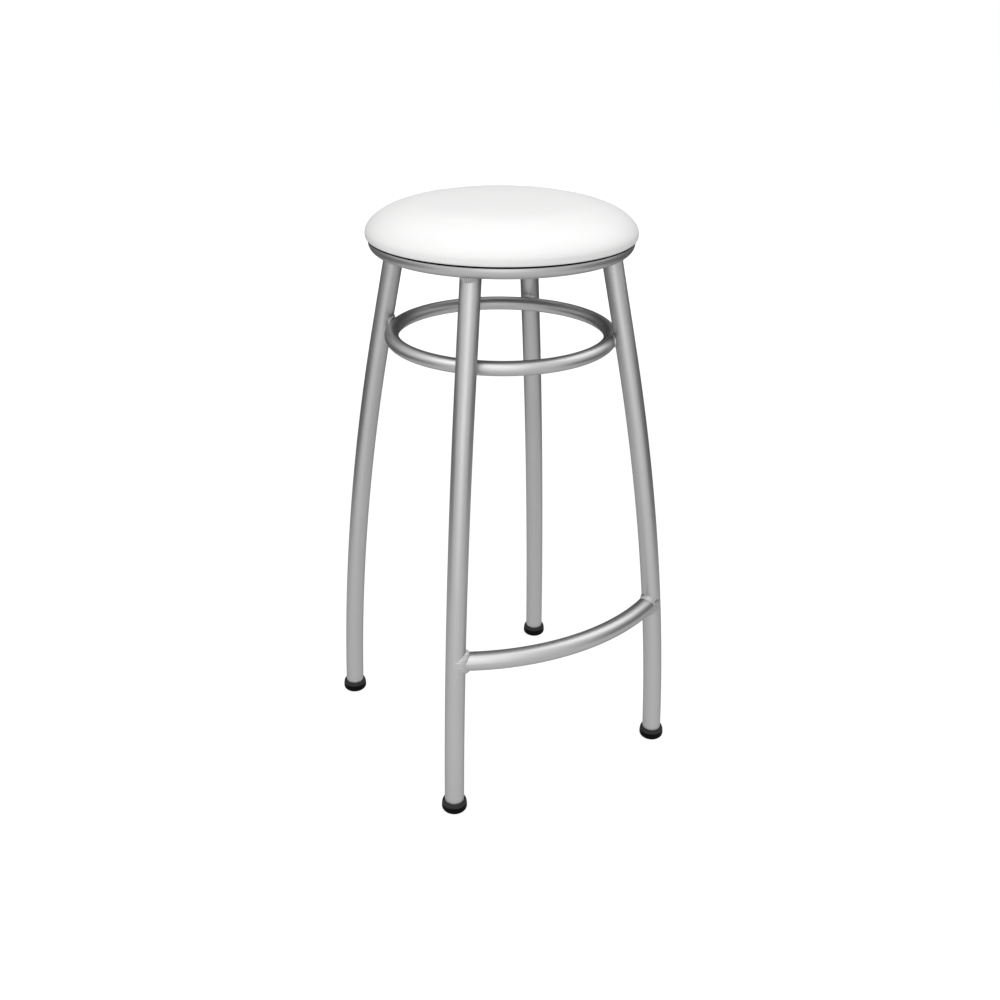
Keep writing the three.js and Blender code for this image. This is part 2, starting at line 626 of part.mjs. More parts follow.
// Below the top ring, round the outer side of a leg
function topWeld() {
  const sink = TOP_BEAD_RADIUS * BEAD_SINK_SHARE;
  const legReach = LEG_TUBE_RADIUS + sink;
  const ringReach = TOP_RING_TUBE_RADIUS + sink;
  const endCosine = ((TOP_RING_RADIUS - ringReach) ** 2 - LEG_AXIS_AT_RING ** 2 - legReach ** 2)
    / (2 * LEG_AXIS_AT_RING * legReach);
  const points = [];
  for (let step = 0; step <= BEAD_STEPS; step += 1) {
    const turn = (2 * (step / BEAD_STEPS) - 1) * Math.acos(endCosine) * BEAD_END_SHARE;
    const pointAt = (height) => new THREE.Vector3(
      legAxisRadius(height) + legReach * Math.cos(turn),
      legReach * Math.sin(turn),
      height,
    );
    const rises = (height) => ringReach - ringDistance(pointAt(height), TOP_RING);
    points.push(pointAt(crossing(LOWER_RING_HEIGHT, TOP_RING_HEIGHT, rises)));
  }
  const bead = beadSolid(points, TOP_BEAD_RADIUS).subtract(legEnvelope(FIT_GAP));
  return geometryFrom(bead.subtract(ringEnvelope(TOP_RING)));
}

// Round the notch where a leg meets the lower ring, open on its under side
function lowerWeld() {
  const sink = LOWER_BEAD_RADIUS * BEAD_SINK_SHARE;
  const legReach = LEG_TUBE_RADIUS + sink;
  const ringReach = LOWER_RING_TUBE_RADIUS + sink;
  const endTurn = Math.PI - LOWER_BEAD_OPENING / 2;
  const points = [];
  for (let step = 0; step <= BEAD_STEPS; step += 1) {
    const turn = Math.PI / 2 + (2 * (step / BEAD_STEPS) - 1) * endTurn;
    const pointAt = (reach) => {
      const side = reach * Math.cos(turn);
      const height = LOWER_RING_HEIGHT + reach * Math.sin(turn);
      const x = crossing(0, legAxisRadius(height), (radius) => {
        const probe = new THREE.Vector3(radius, side, height);
        return ringDistance(probe, LOWER_RING) - ringReach + legReach - legDistance(probe);
      });
      return new THREE.Vector3(x, side, height);
    };
    const rises = (reach) => legDistance(pointAt(reach)) - legReach;
    points.push(pointAt(crossing(0, legReach, rises)));
  }
  const bead = beadSolid(points, LOWER_BEAD_RADIUS).subtract(legEnvelope(FIT_GAP));
  return geometryFrom(bead.subtract(ringEnvelope(LOWER_RING)));
}

// Round an end of the footrest, open on the side that faces the stool's axis
function footrestWeld(side) {
  const sink = FOOTREST_BEAD_RADIUS * BEAD_SINK_SHARE;
  const legReach = LEG_TUBE_RADIUS + sink;
  const restReach = FOOTREST_TUBE_RADIUS + sink;
  const toLeg = new THREE.Matrix4().makeRotationZ(Math.PI / 2 - side * LEG_FIRST_ANGLE);
  const endTurn = Math.PI - FOOTREST_BEAD_OPENING / 2;
  const points = [];
  for (let step = 0; step <= BEAD_STEPS; step += 1) {
    const around = (2 * (step / BEAD_STEPS) - 1) * endTurn;
    const outwards = restReach * Math.cos(around);
    const up = restReach * Math.sin(around);
    const pointAt = (inset) => footrestPoint(side * (FOOTREST_HALF_ANGLE - inset), outwards, up);
    const rises = (inset) => legDistance(pointAt(inset).applyMatrix4(toLeg)) - legReach;
    points.push(pointAt(crossing(0, FOOTREST_HALF_ANGLE, rises)));
  }
  const bead = beadSolid(points, FOOTREST_BEAD_RADIUS).subtract(frontLegEnvelope(side, FIT_GAP));
  return geometryFrom(bead.subtract(footrestEnvelope(FIT_GAP)));
}

// Under the outer end of the fixing tab in the XZ plane, along the inner side of the top ring
function tabWeld() {
  const sink = TAB_BEAD_RADIUS * BEAD_SINK_SHARE;
  const height = TAB_BOTTOM_HEIGHT - sink;
  const ringReach = Math.sqrt((TOP_RING_TUBE_RADIUS + sink) ** 2 - (height - TOP_RING_HEIGHT) ** 2);
  const radius = TOP_RING_RADIUS - ringReach;
  const endTurn = (TAB_WIDTH / 2 - TAB_BEAD_END_MARGIN) / radius;
  const points = [];
  for (let step = 0; step <= BEAD_STEPS; step += 1) {
    const turn = (2 * (step / BEAD_STEPS) - 1) * endTurn;
    points.push(new THREE.Vector3(radius * Math.cos(turn), radius * Math.sin(turn), height));
  }
  const tabBottom = TAB_BOTTOM_HEIGHT - FIT_GAP;
  const tabSpace = roundPlate(TOP_RING_RADIUS, tabBottom, tabBottom + TAB_THICKNESS);
  const bead = beadSolid(points, TAB_BEAD_RADIUS).subtract(tabSpace);
  return geometryFrom(bead.subtract(ringEnvelope(TOP_RING)));
}

// Assembly

function piece(name, geometry, material, turn = 0) {
  const mesh = new THREE.Mesh(closedSurface(geometry), material);
  mesh.name = name;
  mesh.rotation.z = turn;
  return mesh;
}

function seatPieces() {
  return [
    piece('seat_cover', seatCover(), whiteVinyl),
    piece('seat_foam', seatFoam(), foam),
    piece('seat_board', seatBoard(), plywood),
    piece('base_cloth', baseCloth(), blackCloth),
    piece('ring_gasket', ringGasket(), blackRubber),
  ];
}

function fixingPieces() {
  const kinds = [
    ['fixing_tab', fixingTab(), paintedSteel],
    ['seat_screw', seatScrew(), zincSteel],
    ['seat_washer', seatWasher(), zincSteel],
    ['tee_nut', teeNut(), zincSteel],
    ['tab_weld', tabWeld(), paintedSteel],
  ];
  const names = ['right', 'back', 'left', 'front'];
  return names.flatMap((place, tab) => kinds.map(
    ([kind, geometry, material]) => piece(`${kind}_${place}`, geometry, material, tabAngle(tab)),
  ));
}

function legPieces() {
  const kinds = [
    ['leg', legTube(), paintedSteel],
    ['foot_cap', footCap(), blackRubber],
    ['foot_washer', footWasher(), zincSteel],
    ['top_weld', topWeld(), paintedSteel],
    ['lower_weld', lowerWeld(), paintedSteel],
  ];
  const names = ['back_right', 'back_left', 'front_left', 'front_right'];
  return names.flatMap((place, leg) => kinds.map(
    ([kind, geometry, material]) => piece(`${kind}_${place}`, geometry, material, legAngle(leg)),
  ));
}

function framePieces() {
  return [
    piece('top_ring', hollowRing(TOP_RING, Math.PI - VENT_TILT), paintedSteel),
    piece('lower_ring', hollowRing(LOWER_RING, 0), paintedSteel),
    piece('footrest', footrestTube(), paintedSteel),
    piece('footrest_weld_left', footrestWeld(-1), paintedSteel),
    piece('footrest_weld_right', footrestWeld(1), paintedSteel),
  ];
}

// The footrest reaches further forwards than the back feet reach backwards, so the stool's axis
// stands behind the origin by half the difference
const FRONT_REACH = FOOTREST_CHORD_DISTANCE + FOOTREST_BOW + FOOTREST_TUBE_RADIUS;
const BACK_REACH = FOOT_AXIS_RADIUS * Math.sin(LEG_FIRST_ANGLE) + FOOT_CAP_RADIUS;

const stool = new THREE.Group();
stool.add(...seatPieces(), ...fixingPieces(), ...legPieces(), ...framePieces());
stool.position.y = (FRONT_REACH - BACK_REACH) / 2;

const part = new THREE.Group();
part.add(stool);

export default part;
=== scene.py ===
"""The looks of a counter stool: a round white seat on a silver frame of bent tubes.

Laid out as an add-on and run as a script. Sizes are in metres, with +Z up and the footrest on
the -Y side. The frame of tubes is worked out in the seat's own axes and shifted to its place.
"""

import math
from types import SimpleNamespace

import bpy
import numpy as np
from mathutils import Matrix, Vector


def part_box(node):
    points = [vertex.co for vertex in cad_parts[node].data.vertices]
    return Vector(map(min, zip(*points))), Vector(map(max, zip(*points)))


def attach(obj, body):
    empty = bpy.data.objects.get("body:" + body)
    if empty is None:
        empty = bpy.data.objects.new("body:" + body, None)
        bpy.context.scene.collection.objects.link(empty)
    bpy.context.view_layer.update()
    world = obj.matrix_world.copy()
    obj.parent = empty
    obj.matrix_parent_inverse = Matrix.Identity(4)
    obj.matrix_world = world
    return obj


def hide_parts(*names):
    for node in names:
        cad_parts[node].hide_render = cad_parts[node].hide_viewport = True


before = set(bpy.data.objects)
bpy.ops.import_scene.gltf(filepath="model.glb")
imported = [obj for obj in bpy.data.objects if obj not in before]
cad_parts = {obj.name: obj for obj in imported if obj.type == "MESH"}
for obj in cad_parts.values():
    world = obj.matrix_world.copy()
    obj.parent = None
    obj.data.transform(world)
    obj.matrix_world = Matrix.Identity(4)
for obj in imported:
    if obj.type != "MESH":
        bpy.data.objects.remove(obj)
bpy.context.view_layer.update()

bl_info = {
    "name": "Counter Stool",
    "version": (1, 0, 0),
    "blender": (4, 5, 0),
    "location": "3D View > Sidebar > Stool",
    "description": "Builds the seat, tubes, welds and finishes of a counter stool",
    "category": "Add Mesh",
}


# Places read from the frame

def box_of(node):
    """The middle of a node's box and half of its size on each axis."""
    low, high = (np.array(corner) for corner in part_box(node))
    return (low + high) / 2, (high - low) / 2


TOP_HOOP_MIDDLE, TOP_HOOP_HALF = box_of("top_ring")
LOWER_HOOP_MIDDLE, LOWER_HOOP_HALF = box_of("lower_ring")
FOOTREST_MIDDLE, FOOTREST_HALF = box_of("footrest")
CAP_MIDDLE, CAP_HALF = box_of("foot_cap_back_right")
TAB_MIDDLE, TAB_HALF = box_of("fixing_tab_right")
SCREW_MIDDLE, SCREW_HALF = box_of("seat_screw_right")
WASHER_MIDDLE, WASHER_HALF = box_of("seat_washer_right")
CLOTH_MIDDLE, CLOTH_HALF = box_of("base_cloth")
COVER_MIDDLE, COVER_HALF = box_of("seat_cover")
BOARD_MIDDLE, BOARD_HALF = box_of("seat_board")
BEAD_MIDDLE, BEAD_HALF = box_of("tab_weld_right")
AXIS_Y = TOP_HOOP_MIDDLE[1]
FOOT_RADIUS = math.hypot(CAP_MIDDLE[0], CAP_MIDDLE[1] - AXIS_Y)
FIXING_RADIUS = TAB_MIDDLE[0] - TAB_HALF[0] + TAB_HALF[1]
SEAT_TOP = COVER_MIDDLE[2] + COVER_HALF[2]
SEAT_RADIUS = COVER_HALF[0]
LEG_TURNS = {
    "back_right": math.radians(45),
    "back_left": math.radians(135),
    "front_left": math.radians(225),
    "front_right": math.radians(315),
}
FIXING_TURNS = {"right": 0.0, "back": math.pi / 2, "left": math.pi, "front": -math.pi / 2}

# How finely the forms are divided
TUBE_COLUMNS = 64
HOOP_COLUMNS = 40
HOOP_STATIONS = 288
TURNED_COLUMNS = 96
REST_STATIONS = 150
BEAD_STATIONS = 140
BEAD_FACE_STEPS = 11
SEARCH_SAMPLES = 900
HALVINGS = 26
ARC_STEPS = 12
SEAT_BLOCK_CELLS = 40
PROFILE_SAMPLES = 600
FILLING_FRAMES = 20
FLAG_STATIONS = 61
FLOOR_STATIONS = 13
SHARP_EDGE_ANGLE = math.radians(38)


# Sizes, colours and settings that a user can change

def length(name, description, default):
    return bpy.props.FloatProperty(
        name=name, description=description, default=default, min=0.0, precision=4,
        unit="LENGTH", subtype="DISTANCE",
    )


def angle(name, description, degrees):
    return bpy.props.FloatProperty(
        name=name, description=description, default=math.radians(degrees),
        unit="ROTATION", subtype="ANGLE",
    )


def number(name, description, default):
    return bpy.props.FloatProperty(name=name, description=description, default=default, precision=3)


def colour(name, description, default):
    return bpy.props.FloatVectorProperty(
        name=name, description=description, default=default, size=3, min=0.0, max=1.0,
        subtype="COLOR",
    )


def power(name, description, default):
    return bpy.props.FloatProperty(
        name=name, description=description, default=default, min=0.0, unit="POWER",
    )


class STOOL_PG_tubes(bpy.types.PropertyGroup):
    """Sizes of the welded frame."""

    leg_tube: length("Leg tube", "Outer radius of a leg's tube", 0.0127)
    leg_wall: length("Leg wall", "Wall of a leg's tube", 0.002)
    leg_straight: length("Leg straight", "Depth of its straight stretch under the top hoop", 0.129)
    leg_top_lean: angle("Leg lean, top", "Lean of a leg from upright at the top", 11.64)
    leg_foot_lean: angle("Leg lean, foot", "Lean of a leg from upright at the floor", 1.43)
    leg_top_rise: length("Leg end", "How far a leg's axis runs above the top hoop's middle", 0.004)
    leg_floor: length("Leg foot", "Height of a leg's cut end inside its cap", 0.0061)
    hoop_tube: length("Top hoop tube", "Outer radius of the top hoop's tube", TOP_HOOP_HALF[2])
    lower_tube: length("Lower hoop tube", "Outer radius of the lower hoop's tube", 0.009)
    rest_tube: length("Footrest tube", "Outer radius of the footrest's tube", FOOTREST_HALF[2])
    rest_wall: length("Footrest wall", "Wall of the footrest's tube", 0.0015)
    rest_inset: length("Footrest inset", "How far the footrest passes inside the legs' axes", 0.002)
    fit_gap: length("Fit gap", "Clearance of a cut end to the tube that it meets", 0.0003)


class STOOL_PG_welds(bpy.types.PropertyGroup):
    """Sizes of the weld beads."""

    top_toe: length("Top weld", "Reach of the weld under the top hoop, at a leg's side", 0.0028)
    top_drop: length("Top weld, outside", "How much further it reaches on the outer side", 0.0034)
    lower_toe: length("Lower weld", "Reach of the weld at the lower hoop", 0.0019)
    lower_rise: length("Lower weld, top", "How much further it reaches over the hoop", 0.0026)
    rest_toe: length("Footrest weld height", "Reach of the footrest's weld on the leg", 0.0036)
    rest_length: length("Footrest weld length", "Reach of the weld along the footrest", 0.005)
    rest_least: length("Footrest weld, flush", "Its height where the tube passes the leg", 0.0012)
    tab_toe: length("Tab weld", "Radius of the weld under a fixing tab", 0.0018)
    sink: length("Weld sink", "How far a weld's edge lies under the face of a tube", 0.00025)
    ripple_pitch: length("Ripple pitch", "Distance between two ripples of a weld", 0.0021)
    ripple_share: number("Ripple depth", "Depth of a ripple as a share of the weld", 0.11)
    fullness: number("Fullness", "1 is a flat weld face and 2 a round one", 1.3)
    rest_overlap: angle("Footrest weld overlap", "How far its end runs over its start", 8)
    lower_opening: angle("Lower weld opening", "Gap in the weld, on the under side", 50)


class STOOL_PG_seat(bpy.types.PropertyGroup):
    """Sizes of the seat pad."""

    widest: length("Widest line", "Height of the widest line over the top hoop's middle", 0.0126)
    side_power: number("Side power", "Shape of the pad's side, smaller is squarer", 0.435)
    crown_power: number("Crown power", "Shape of the pad's crown, larger is flatter", 1.31)
    gasket_gap: length("Gasket gap", "Clearance on both sides of the gasket", 0.0003)
    gasket: length("Gasket", "Thickness of the black gasket", 0.0019)
    gasket_start: angle("Gasket edge", "Angle of the gasket's lower edge round the top hoop", 16)
    lip_angle: angle("Lip angle", "Angle of the pad's lip round the top hoop", 27)
    lip_round: length("Lip round", "Radius of the rolled lip", 0.0011)
    turn_under: length("Turn-under", "Radius at which the cover ends under the board", 0.1332)
    cover: length("Cover", "Thickness of the cover with its backing", 0.0012)
    slack: length("Slack", "How much smaller the cover is before it is filled", 0.0003)
    swell: length("Swell", "How far the filling may push the cover out", 0.0006)
    give: length("Give", "How far the cover may press into the filling", 0.00015)
    pressure: number("Pressure", "Pressure of the filling on the cover", 4.0)
    cloth_sag: length("Cloth sag", "Sag of the dust cloth in its middle", 0.0016)
    cloth_thickness: length("Cloth thickness", "Thickness of the dust cloth", 0.0004)


class STOOL_PG_finish(bpy.types.PropertyGroup):
    """Colours of the finishes."""

    paint: colour("Paint", "Silver powder coat", (0.495, 0.495, 0.495))
    paint_roughness: number("Paint roughness", "Roughness where the paint is glossiest", 0.37)
    vinyl: colour("Vinyl", "White seat cover", (0.905, 0.905, 0.900))
    rubber: colour("Rubber", "Black foot caps and gasket", (0.004, 0.004, 0.004))
    # Painted highlight: this lighter rubber on the caps' shoulders stands in for light from above
    worn_rubber: colour("Shoulder highlight", "Painted highlight on the foot caps' shoulders", (0.042, 0.042, 0.042))
    cloth: colour("Dust cloth", "Black cloth under the seat", (0.02, 0.02, 0.021))
    foam: colour("Foam", "Foam inside the seat", (0.82, 0.74, 0.5))
    ply_light: colour("Plywood, light", "Light grain of the seat board", (0.62, 0.42, 0.23))
    ply_dark: colour("Plywood, dark", "Dark grain of the seat board", (0.42, 0.25, 0.12))
    zinc: colour("Zinc", "Plated screws, washers and nuts", (0.62, 0.63, 0.64))
    # Heights between which the caps' painted shoulder highlight fades in
    worn_start: length("Highlight start", "Height on a foot cap at which the painted highlight starts", 0.0106)
    worn_end: length("Highlight end", "Height on a foot cap from which the painted highlight is full", 0.0122)
    dust: colour("Dust", "Dust low on the foot caps", (0.09, 0.088, 0.085))
    dust_fade: number("Dust fade", "One over the height in metres at which the dust ends", 120.0)
    felt: colour("Felt", "Dark flags of the stage", (0.009, 0.009, 0.009))
    floor: colour("Floor", "Floor of the stage", (0.8, 0.8, 0.8))


class STOOL_PG_stage(bpy.types.PropertyGroup):
    """Camera and light."""

    camera_azimuth: angle("Camera azimuth", "Turn of the camera round the stool", -30.37)
    camera_height: angle("Camera elevation", "Camera's angle above the horizon", 25.32)
    camera_roll: angle("Camera roll", "Turn of the camera round its own axis", 0.367)
    camera_distance: length("Camera distance", "Distance from the camera to its target", 1.5953)
    camera_target: length("Camera target", "Height of the point that the camera looks at", 0.34656)
    camera_lens: number("Camera lens", "Focal length in millimetres on a 36 mm sensor", 42.03)
    front_power: power("Front lamp", "Soft lamp high behind the camera", 11.2)
    low_power: power("Low lamp", "Soft lamp in front, near the floor", 8.0)
    top_power: power("Top lamp", "Soft lamp over the stool", 10.8)
    left_power: power("Left lamp", "Soft lamp high on the left", 14.0)
    right_power: power("Right lamp", "Soft lamp high on the right", 12.5)
    lamp_size: length("Lamp size", "Side of each square lamp", 1.6)
    lamp_distance: length("Lamp distance", "Distance of each lamp from the stool's middle", 2.4)
    flag_distance: length("Flag distance", "Distance of the dark flags from the seat's axis", 1.1)
    flag_start: angle("Flag start", "Azimuth at which the flags start", 30)
    flag_end: angle("Flag end", "Azimuth at which the flags end", 270)
    flag_sides: length("Flag height at the sides", "Height of the dark flags at both sides", 0.62)
    flag_back: length("Flag height at the back", "Height of the dark flags behind the stool", 1.8)
    ambient: number("Ambient", "Light from all round on surfaces without gloss", 0.34)
    floor_half: length("Floor half", "Half of the floor's side", 6.0)
    floor_white: number("Floor white", "White that camera and reflections see in the floor", 0.94)
    floor_shade: number("Floor shade", "Share of its own light and shadow that they see", 0.2)
    floor_mirror: number("Floor mirror", "How much of the plain white shows in reflections", 0.46)
    floor_near: length("Shadow reach", "Distance at which the floor's shade starts to fade", 1.1)
    floor_far: length("Shadow end", "Distance at which the floor is plain white", 2.6)


# Surfaces from numpy arrays

def loop_turns(count):
    """Even angles once round, ending one step before the first angle comes again."""
    return np.linspace(0, 2 * math.pi, count, endpoint=False)


def round_axis(radius, turn, level):
    """Points at a radius and a turn round the upright axis, as (r cos a, r sin a, z)."""
    x, y = radius * np.cos(turn), radius * np.sin(turn)
    return np.stack(np.broadcast_arrays(x, y, level), axis=-1)


def turned_by(points, turn):
    """The points turned round the upright axis."""
    x, y, z = points[..., 0], points[..., 1], points[..., 2]
    cosine, sine = math.cos(turn), math.sin(turn)
    return np.stack([x * cosine - y * sine, x * sine + y * cosine, z], axis=-1)


def volume_inside(points, faces):
    """Six times the volume that the faces enclose, negative where they face inwards."""
    first, *others = (points[corner] for corner in faces.T)
    fans = zip(others, others[1:])
    return sum(np.einsum("ij,ij->", first, np.cross(second, third)) for second, third in fans)


def add_piece(name, points, face_sets, sharp=SHARP_EDGE_ANGLE):
    """A smooth-shaded mesh object from an array of points and arrays of quads or triangles."""
    if sum(volume_inside(points, faces) for faces in face_sets) < 0:
        face_sets = [faces[:, ::-1] for faces in face_sets]
    corners = np.concatenate([faces.ravel() for faces in face_sets]).astype(np.int32)
    counts = np.concatenate([np.full(len(faces), faces.shape[1]) for faces in face_sets])
    starts = np.concatenate([[0], np.cumsum(counts)[:-1]]).astype(np.int32)
    mesh = bpy.data.meshes.new(name)
    mesh.vertices.add(len(points))
    mesh.vertices.foreach_set("co", points.astype(np.float32).ravel())
    mesh.loops.add(len(corners))
    mesh.loops.foreach_set("vertex_index", corners)
    mesh.polygons.add(len(starts))
    mesh.polygons.foreach_set("loop_start", starts)
    mesh.update(calc_edges=True)
    mesh.polygons.foreach_set("use_smooth", np.ones(len(starts), bool))
    mesh.set_sharp_from_angle(angle=sharp)
    piece = bpy.data.objects.new(name, mesh)
    bpy.context.scene.collection.objects.link(piece)
    return piece


def quads(index):
    """Quads between the neighbours in a grid of point numbers."""
    corners = [index[:-1, :-1], index[1:, :-1], index[1:, 1:], index[:-1, 1:]]
    return np.stack(corners, axis=-1).reshape(-1, 4)


def add_grid(name, grid, joined):
    """A closed surface on a grid of points whose rows are closed loops.

    Joined rows make a hoop. Otherwise each end row is closed by a fan to its own middle.
    """
    points = grid.reshape(-1, 3)
    index = np.arange(len(points)).reshape(grid.shape[:2])
    index = np.hstack([index, index[:, :1]])
    if joined:
        return add_piece(name, points, [quads(np.vstack([index, index[:1]]).T)])
    low_middle = np.full(len(index[0]) - 1, len(points))
    fans = [
        np.column_stack([low_middle, index[0, 1:], index[0, :-1]]),
        np.column_stack([low_middle + 1, index[-1, :-1], index[-1, 1:]]),
    ]
    points = np.vstack([points, grid[0].mean(axis=0), grid[-1].mean(axis=0)])
    return add_piece(name, points, [quads(index.T), *fans])


def turned(profile, columns=TURNED_COLUMNS, axis_x=0.0):
    """Grid of a turned body, whose profile points (r, z) go round an upright axis."""
    return round_axis(profile[:, :1], loop_turns(columns), profile[:, 1:]) + [axis_x, 0.0, 0.0]


def arc(centre, radius, start, end, steps=ARC_STEPS):
    """Points on a circle round a centre, from one angle to another."""
    turn = np.linspace(start, end, steps)[:, None]
    return np.array(centre) + radius * np.hstack([np.cos(turn), np.sin(turn)])


def on_circle(centre, radius, turn):
    """One point on a circle round a centre."""
    return arc(centre, radius, turn, turn, 1)[0]


def curve_between(start, start_pull, end_pull, end, steps=ARC_STEPS):
    """Points of a cubic curve: the four points weighted by the terms of (1 - t + t) cubed."""
    share = np.linspace(0, 1, steps)[:, None]
    rest = 1 - share
    start, start_pull, end_pull, end = (np.array(p) for p in (start, start_pull, end_pull, end))
    ends = rest**3 * start + share**3 * end
    return ends + 3 * rest**2 * share * start_pull + 3 * rest * share**2 * end_pull


def set_place(points, turn=0.0):
    """The points turned round the seat's axis and shifted to where that axis stands."""
    return turned_by(points, turn) + [0.0, AXIS_Y, 0.0]


def dress(piece, nodes, material):
    """Gives a piece its material and its body, and hides the nodes that it stands for."""
    piece.data.materials.append(material)
    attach(piece, "root")
    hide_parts(*nodes)
    return piece


# Centre lines of the tubes, in the axes of the seat

class Hoop:
    """A level tube hoop round the seat's axis."""

    def __init__(self, radius, height, tube):
        self.radius, self.height, self.tube = radius, height, tube

    def distance(self, points):
        """Distance from the hoop's centre line: sideways from its circle and up from its level."""
        across = np.hypot(points[..., 0], points[..., 1]) - self.radius
        return np.hypot(across, points[..., 2] - self.height)

    def grid(self):
        """The centre line's circle carries a smaller circle, upright at each station."""
        around, turn = loop_turns(HOOP_COLUMNS), loop_turns(HOOP_STATIONS)[:, None]
        reach = self.radius + self.tube * np.cos(around)
        return round_axis(reach, turn, self.height + self.tube * np.sin(around))


class Leg:
    """A leg's tube in the XZ plane: straight under the top hoop, then one long bend downwards."""

    def __init__(self, tubes, hoop):
        self.tube, self.bore = tubes.leg_tube, tubes.leg_tube - tubes.leg_wall
        self.hoop_height = hoop.height
        self.bend_start = hoop.height - tubes.leg_straight
        self.top_lean, self.foot_lean = tubes.leg_top_lean, tubes.leg_foot_lean
        self.bend_radius = self.bend_start / (math.sin(self.top_lean) - math.sin(self.foot_lean))
        self.radius_at_hoop = 0.0
        self.radius_at_hoop = FOOT_RADIUS - float(self.radius(CAP_MIDDLE[2]))

    def lean(self, height):
        """The sine of the lean grows evenly with height up to the start of the straight."""
        bent = np.minimum(height, self.bend_start)
        return np.arcsin(math.sin(self.foot_lean) + bent / self.bend_radius)

    def radius(self, height):
        """Distance of the leg's axis from the seat's axis at a height."""
        above = np.maximum(height, self.bend_start)
        straight = (self.hoop_height - above) * math.tan(self.top_lean)
        bend = self.bend_radius * (np.cos(self.lean(height)) - math.cos(self.top_lean))
        return self.radius_at_hoop + straight + bend

    def point(self, around, reach, height):
        """A point beside the axis: reach away from it, square to it, at an angle round it."""
        lean = self.lean(height)
        outwards = reach * np.cos(around)
        x = self.radius(height) + outwards * np.cos(lean)
        z = height + outwards * np.sin(lean)
        return np.stack(np.broadcast_arrays(x, reach * np.sin(around), z), axis=-1)

    def distance(self, points):
        """Distance from the leg's axis."""
        x, y, z = points[..., 0], points[..., 1], points[..., 2]
        return np.hypot((x - self.radius(z)) * np.cos(self.lean(z)), y)


class Footrest:
    """A level tube bent outwards on an arc between the two front legs."""

    def __init__(self, tubes, leg):
        self.height, self.tube = FOOTREST_MIDDLE[2], tubes.rest_tube
        self.bore = tubes.rest_tube - tubes.rest_wall
        diagonal = math.sqrt(0.5)
        half_chord = float(leg.radius(self.height)) * diagonal
        front = AXIS_Y - (FOOTREST_MIDDLE[1] - FOOTREST_HALF[1]) - self.tube
        self.inset = tubes.rest_inset
        bow = front - half_chord + self.inset
        self.bend_radius = (half_chord**2 + bow**2) / (2 * bow)
        self.half_turn = math.asin(half_chord / self.bend_radius)
        self.centre_y = self.bend_radius - front

    def point(self, turn, outwards, up):
        """A point beside the arc: outwards in its plane and up from it."""
        reach = self.bend_radius + outwards
        x, y = reach * np.sin(turn), self.centre_y - reach * np.cos(turn)
        return np.stack(np.broadcast_arrays(x, y, self.height + up), axis=-1)

    def leg_distance(self, leg, points):
        """Distance from the right front leg's axis, after a turn into that leg's plane."""
        return leg.distance(turned_by(points, -LEG_TURNS["front_right"]))


def frame_lines(scene):
    """The centre lines of the welded frame's tubes, from the boxes of its nodes and the sizes."""
    tubes = scene.stool_tubes
    top = Hoop(TOP_HOOP_HALF[0] - tubes.hoop_tube, TOP_HOOP_MIDDLE[2], tubes.hoop_tube)
    lower = Hoop(LOWER_HOOP_HALF[0] - tubes.lower_tube, LOWER_HOOP_MIDDLE[2], tubes.lower_tube)
    leg = Leg(tubes, top)
    return SimpleNamespace(top=top, lower=lower, leg=leg, rest=Footrest(tubes, leg))


def first_meeting(samples, gaps):
    """Where a gap first closes along the last axis, between two samples, and whether it does.

    Where it never closes, the sample with the least gap.
    """
    closed = gaps <= 0
    meets = closed.any(axis=-1)
    after = np.where(meets, closed.argmax(axis=-1), gaps.argmin(axis=-1))
    before = np.maximum(after - 1, 0)
    gap_after = np.take_along_axis(gaps, after[..., None], -1)[..., 0]
    gap_before = np.take_along_axis(gaps, before[..., None], -1)[..., 0]
    between = meets & (after > 0)
    share = np.where(between, gap_before / np.where(between, gap_before - gap_after, 1), 1)
    return samples[before] + share * (samples[after] - samples[before]), meets


def turning_point(low, high, past):
    """The value between low and high from which a test holds, by repeated halving."""
    for _ in range(HALVINGS):
        middle = (low + high) / 2
        holds = past(middle)
        low, high = np.where(holds, low, middle), np.where(holds, middle, high)
    return low


# Tubes

LEG_SEARCH_DEPTH = 0.06  # under the top hoop's middle, where a leg's lines can meet it
NOTCH_LIMIT = 0.003
NOTCH_ZONE = 0.016  # half the height of the leg's finely divided stretch at its notch
TOP_ZONE = 0.032
SHAFT_ROWS, NOTCH_ROWS, UPPER_ROWS, COPE_ROWS, BORE_ROWS = 96, 56, 16, 14, 8
REST_BORE_ROWS = 9


def leg_end(leg, hoop, around, reach, tubes):
    """Height at which each line along a leg's tube stops: at the top hoop, or at the cut end."""
    end = hoop.height + tubes.leg_top_rise
    heights = np.linspace(hoop.height - LEG_SEARCH_DEPTH, end, SEARCH_SAMPLES)
    gaps = hoop.distance(leg.point(around[:, None], reach, heights)) - hoop.tube - tubes.fit_gap
    height, meets = first_meeting(heights, gaps)
    return np.where(meets, height, end)


def notched_reach(leg, hoop, around, heights, gap):
    """The leg's tube radius, drawn in where the lower hoop lies in its notch."""
    shape = np.broadcast(around, heights).shape

    def touches(reach):
        return hoop.distance(leg.point(around, reach, heights)) <= hoop.tube + gap

    return turning_point(np.full(shape, leg.tube - NOTCH_LIMIT), np.full(shape, leg.tube), touches)


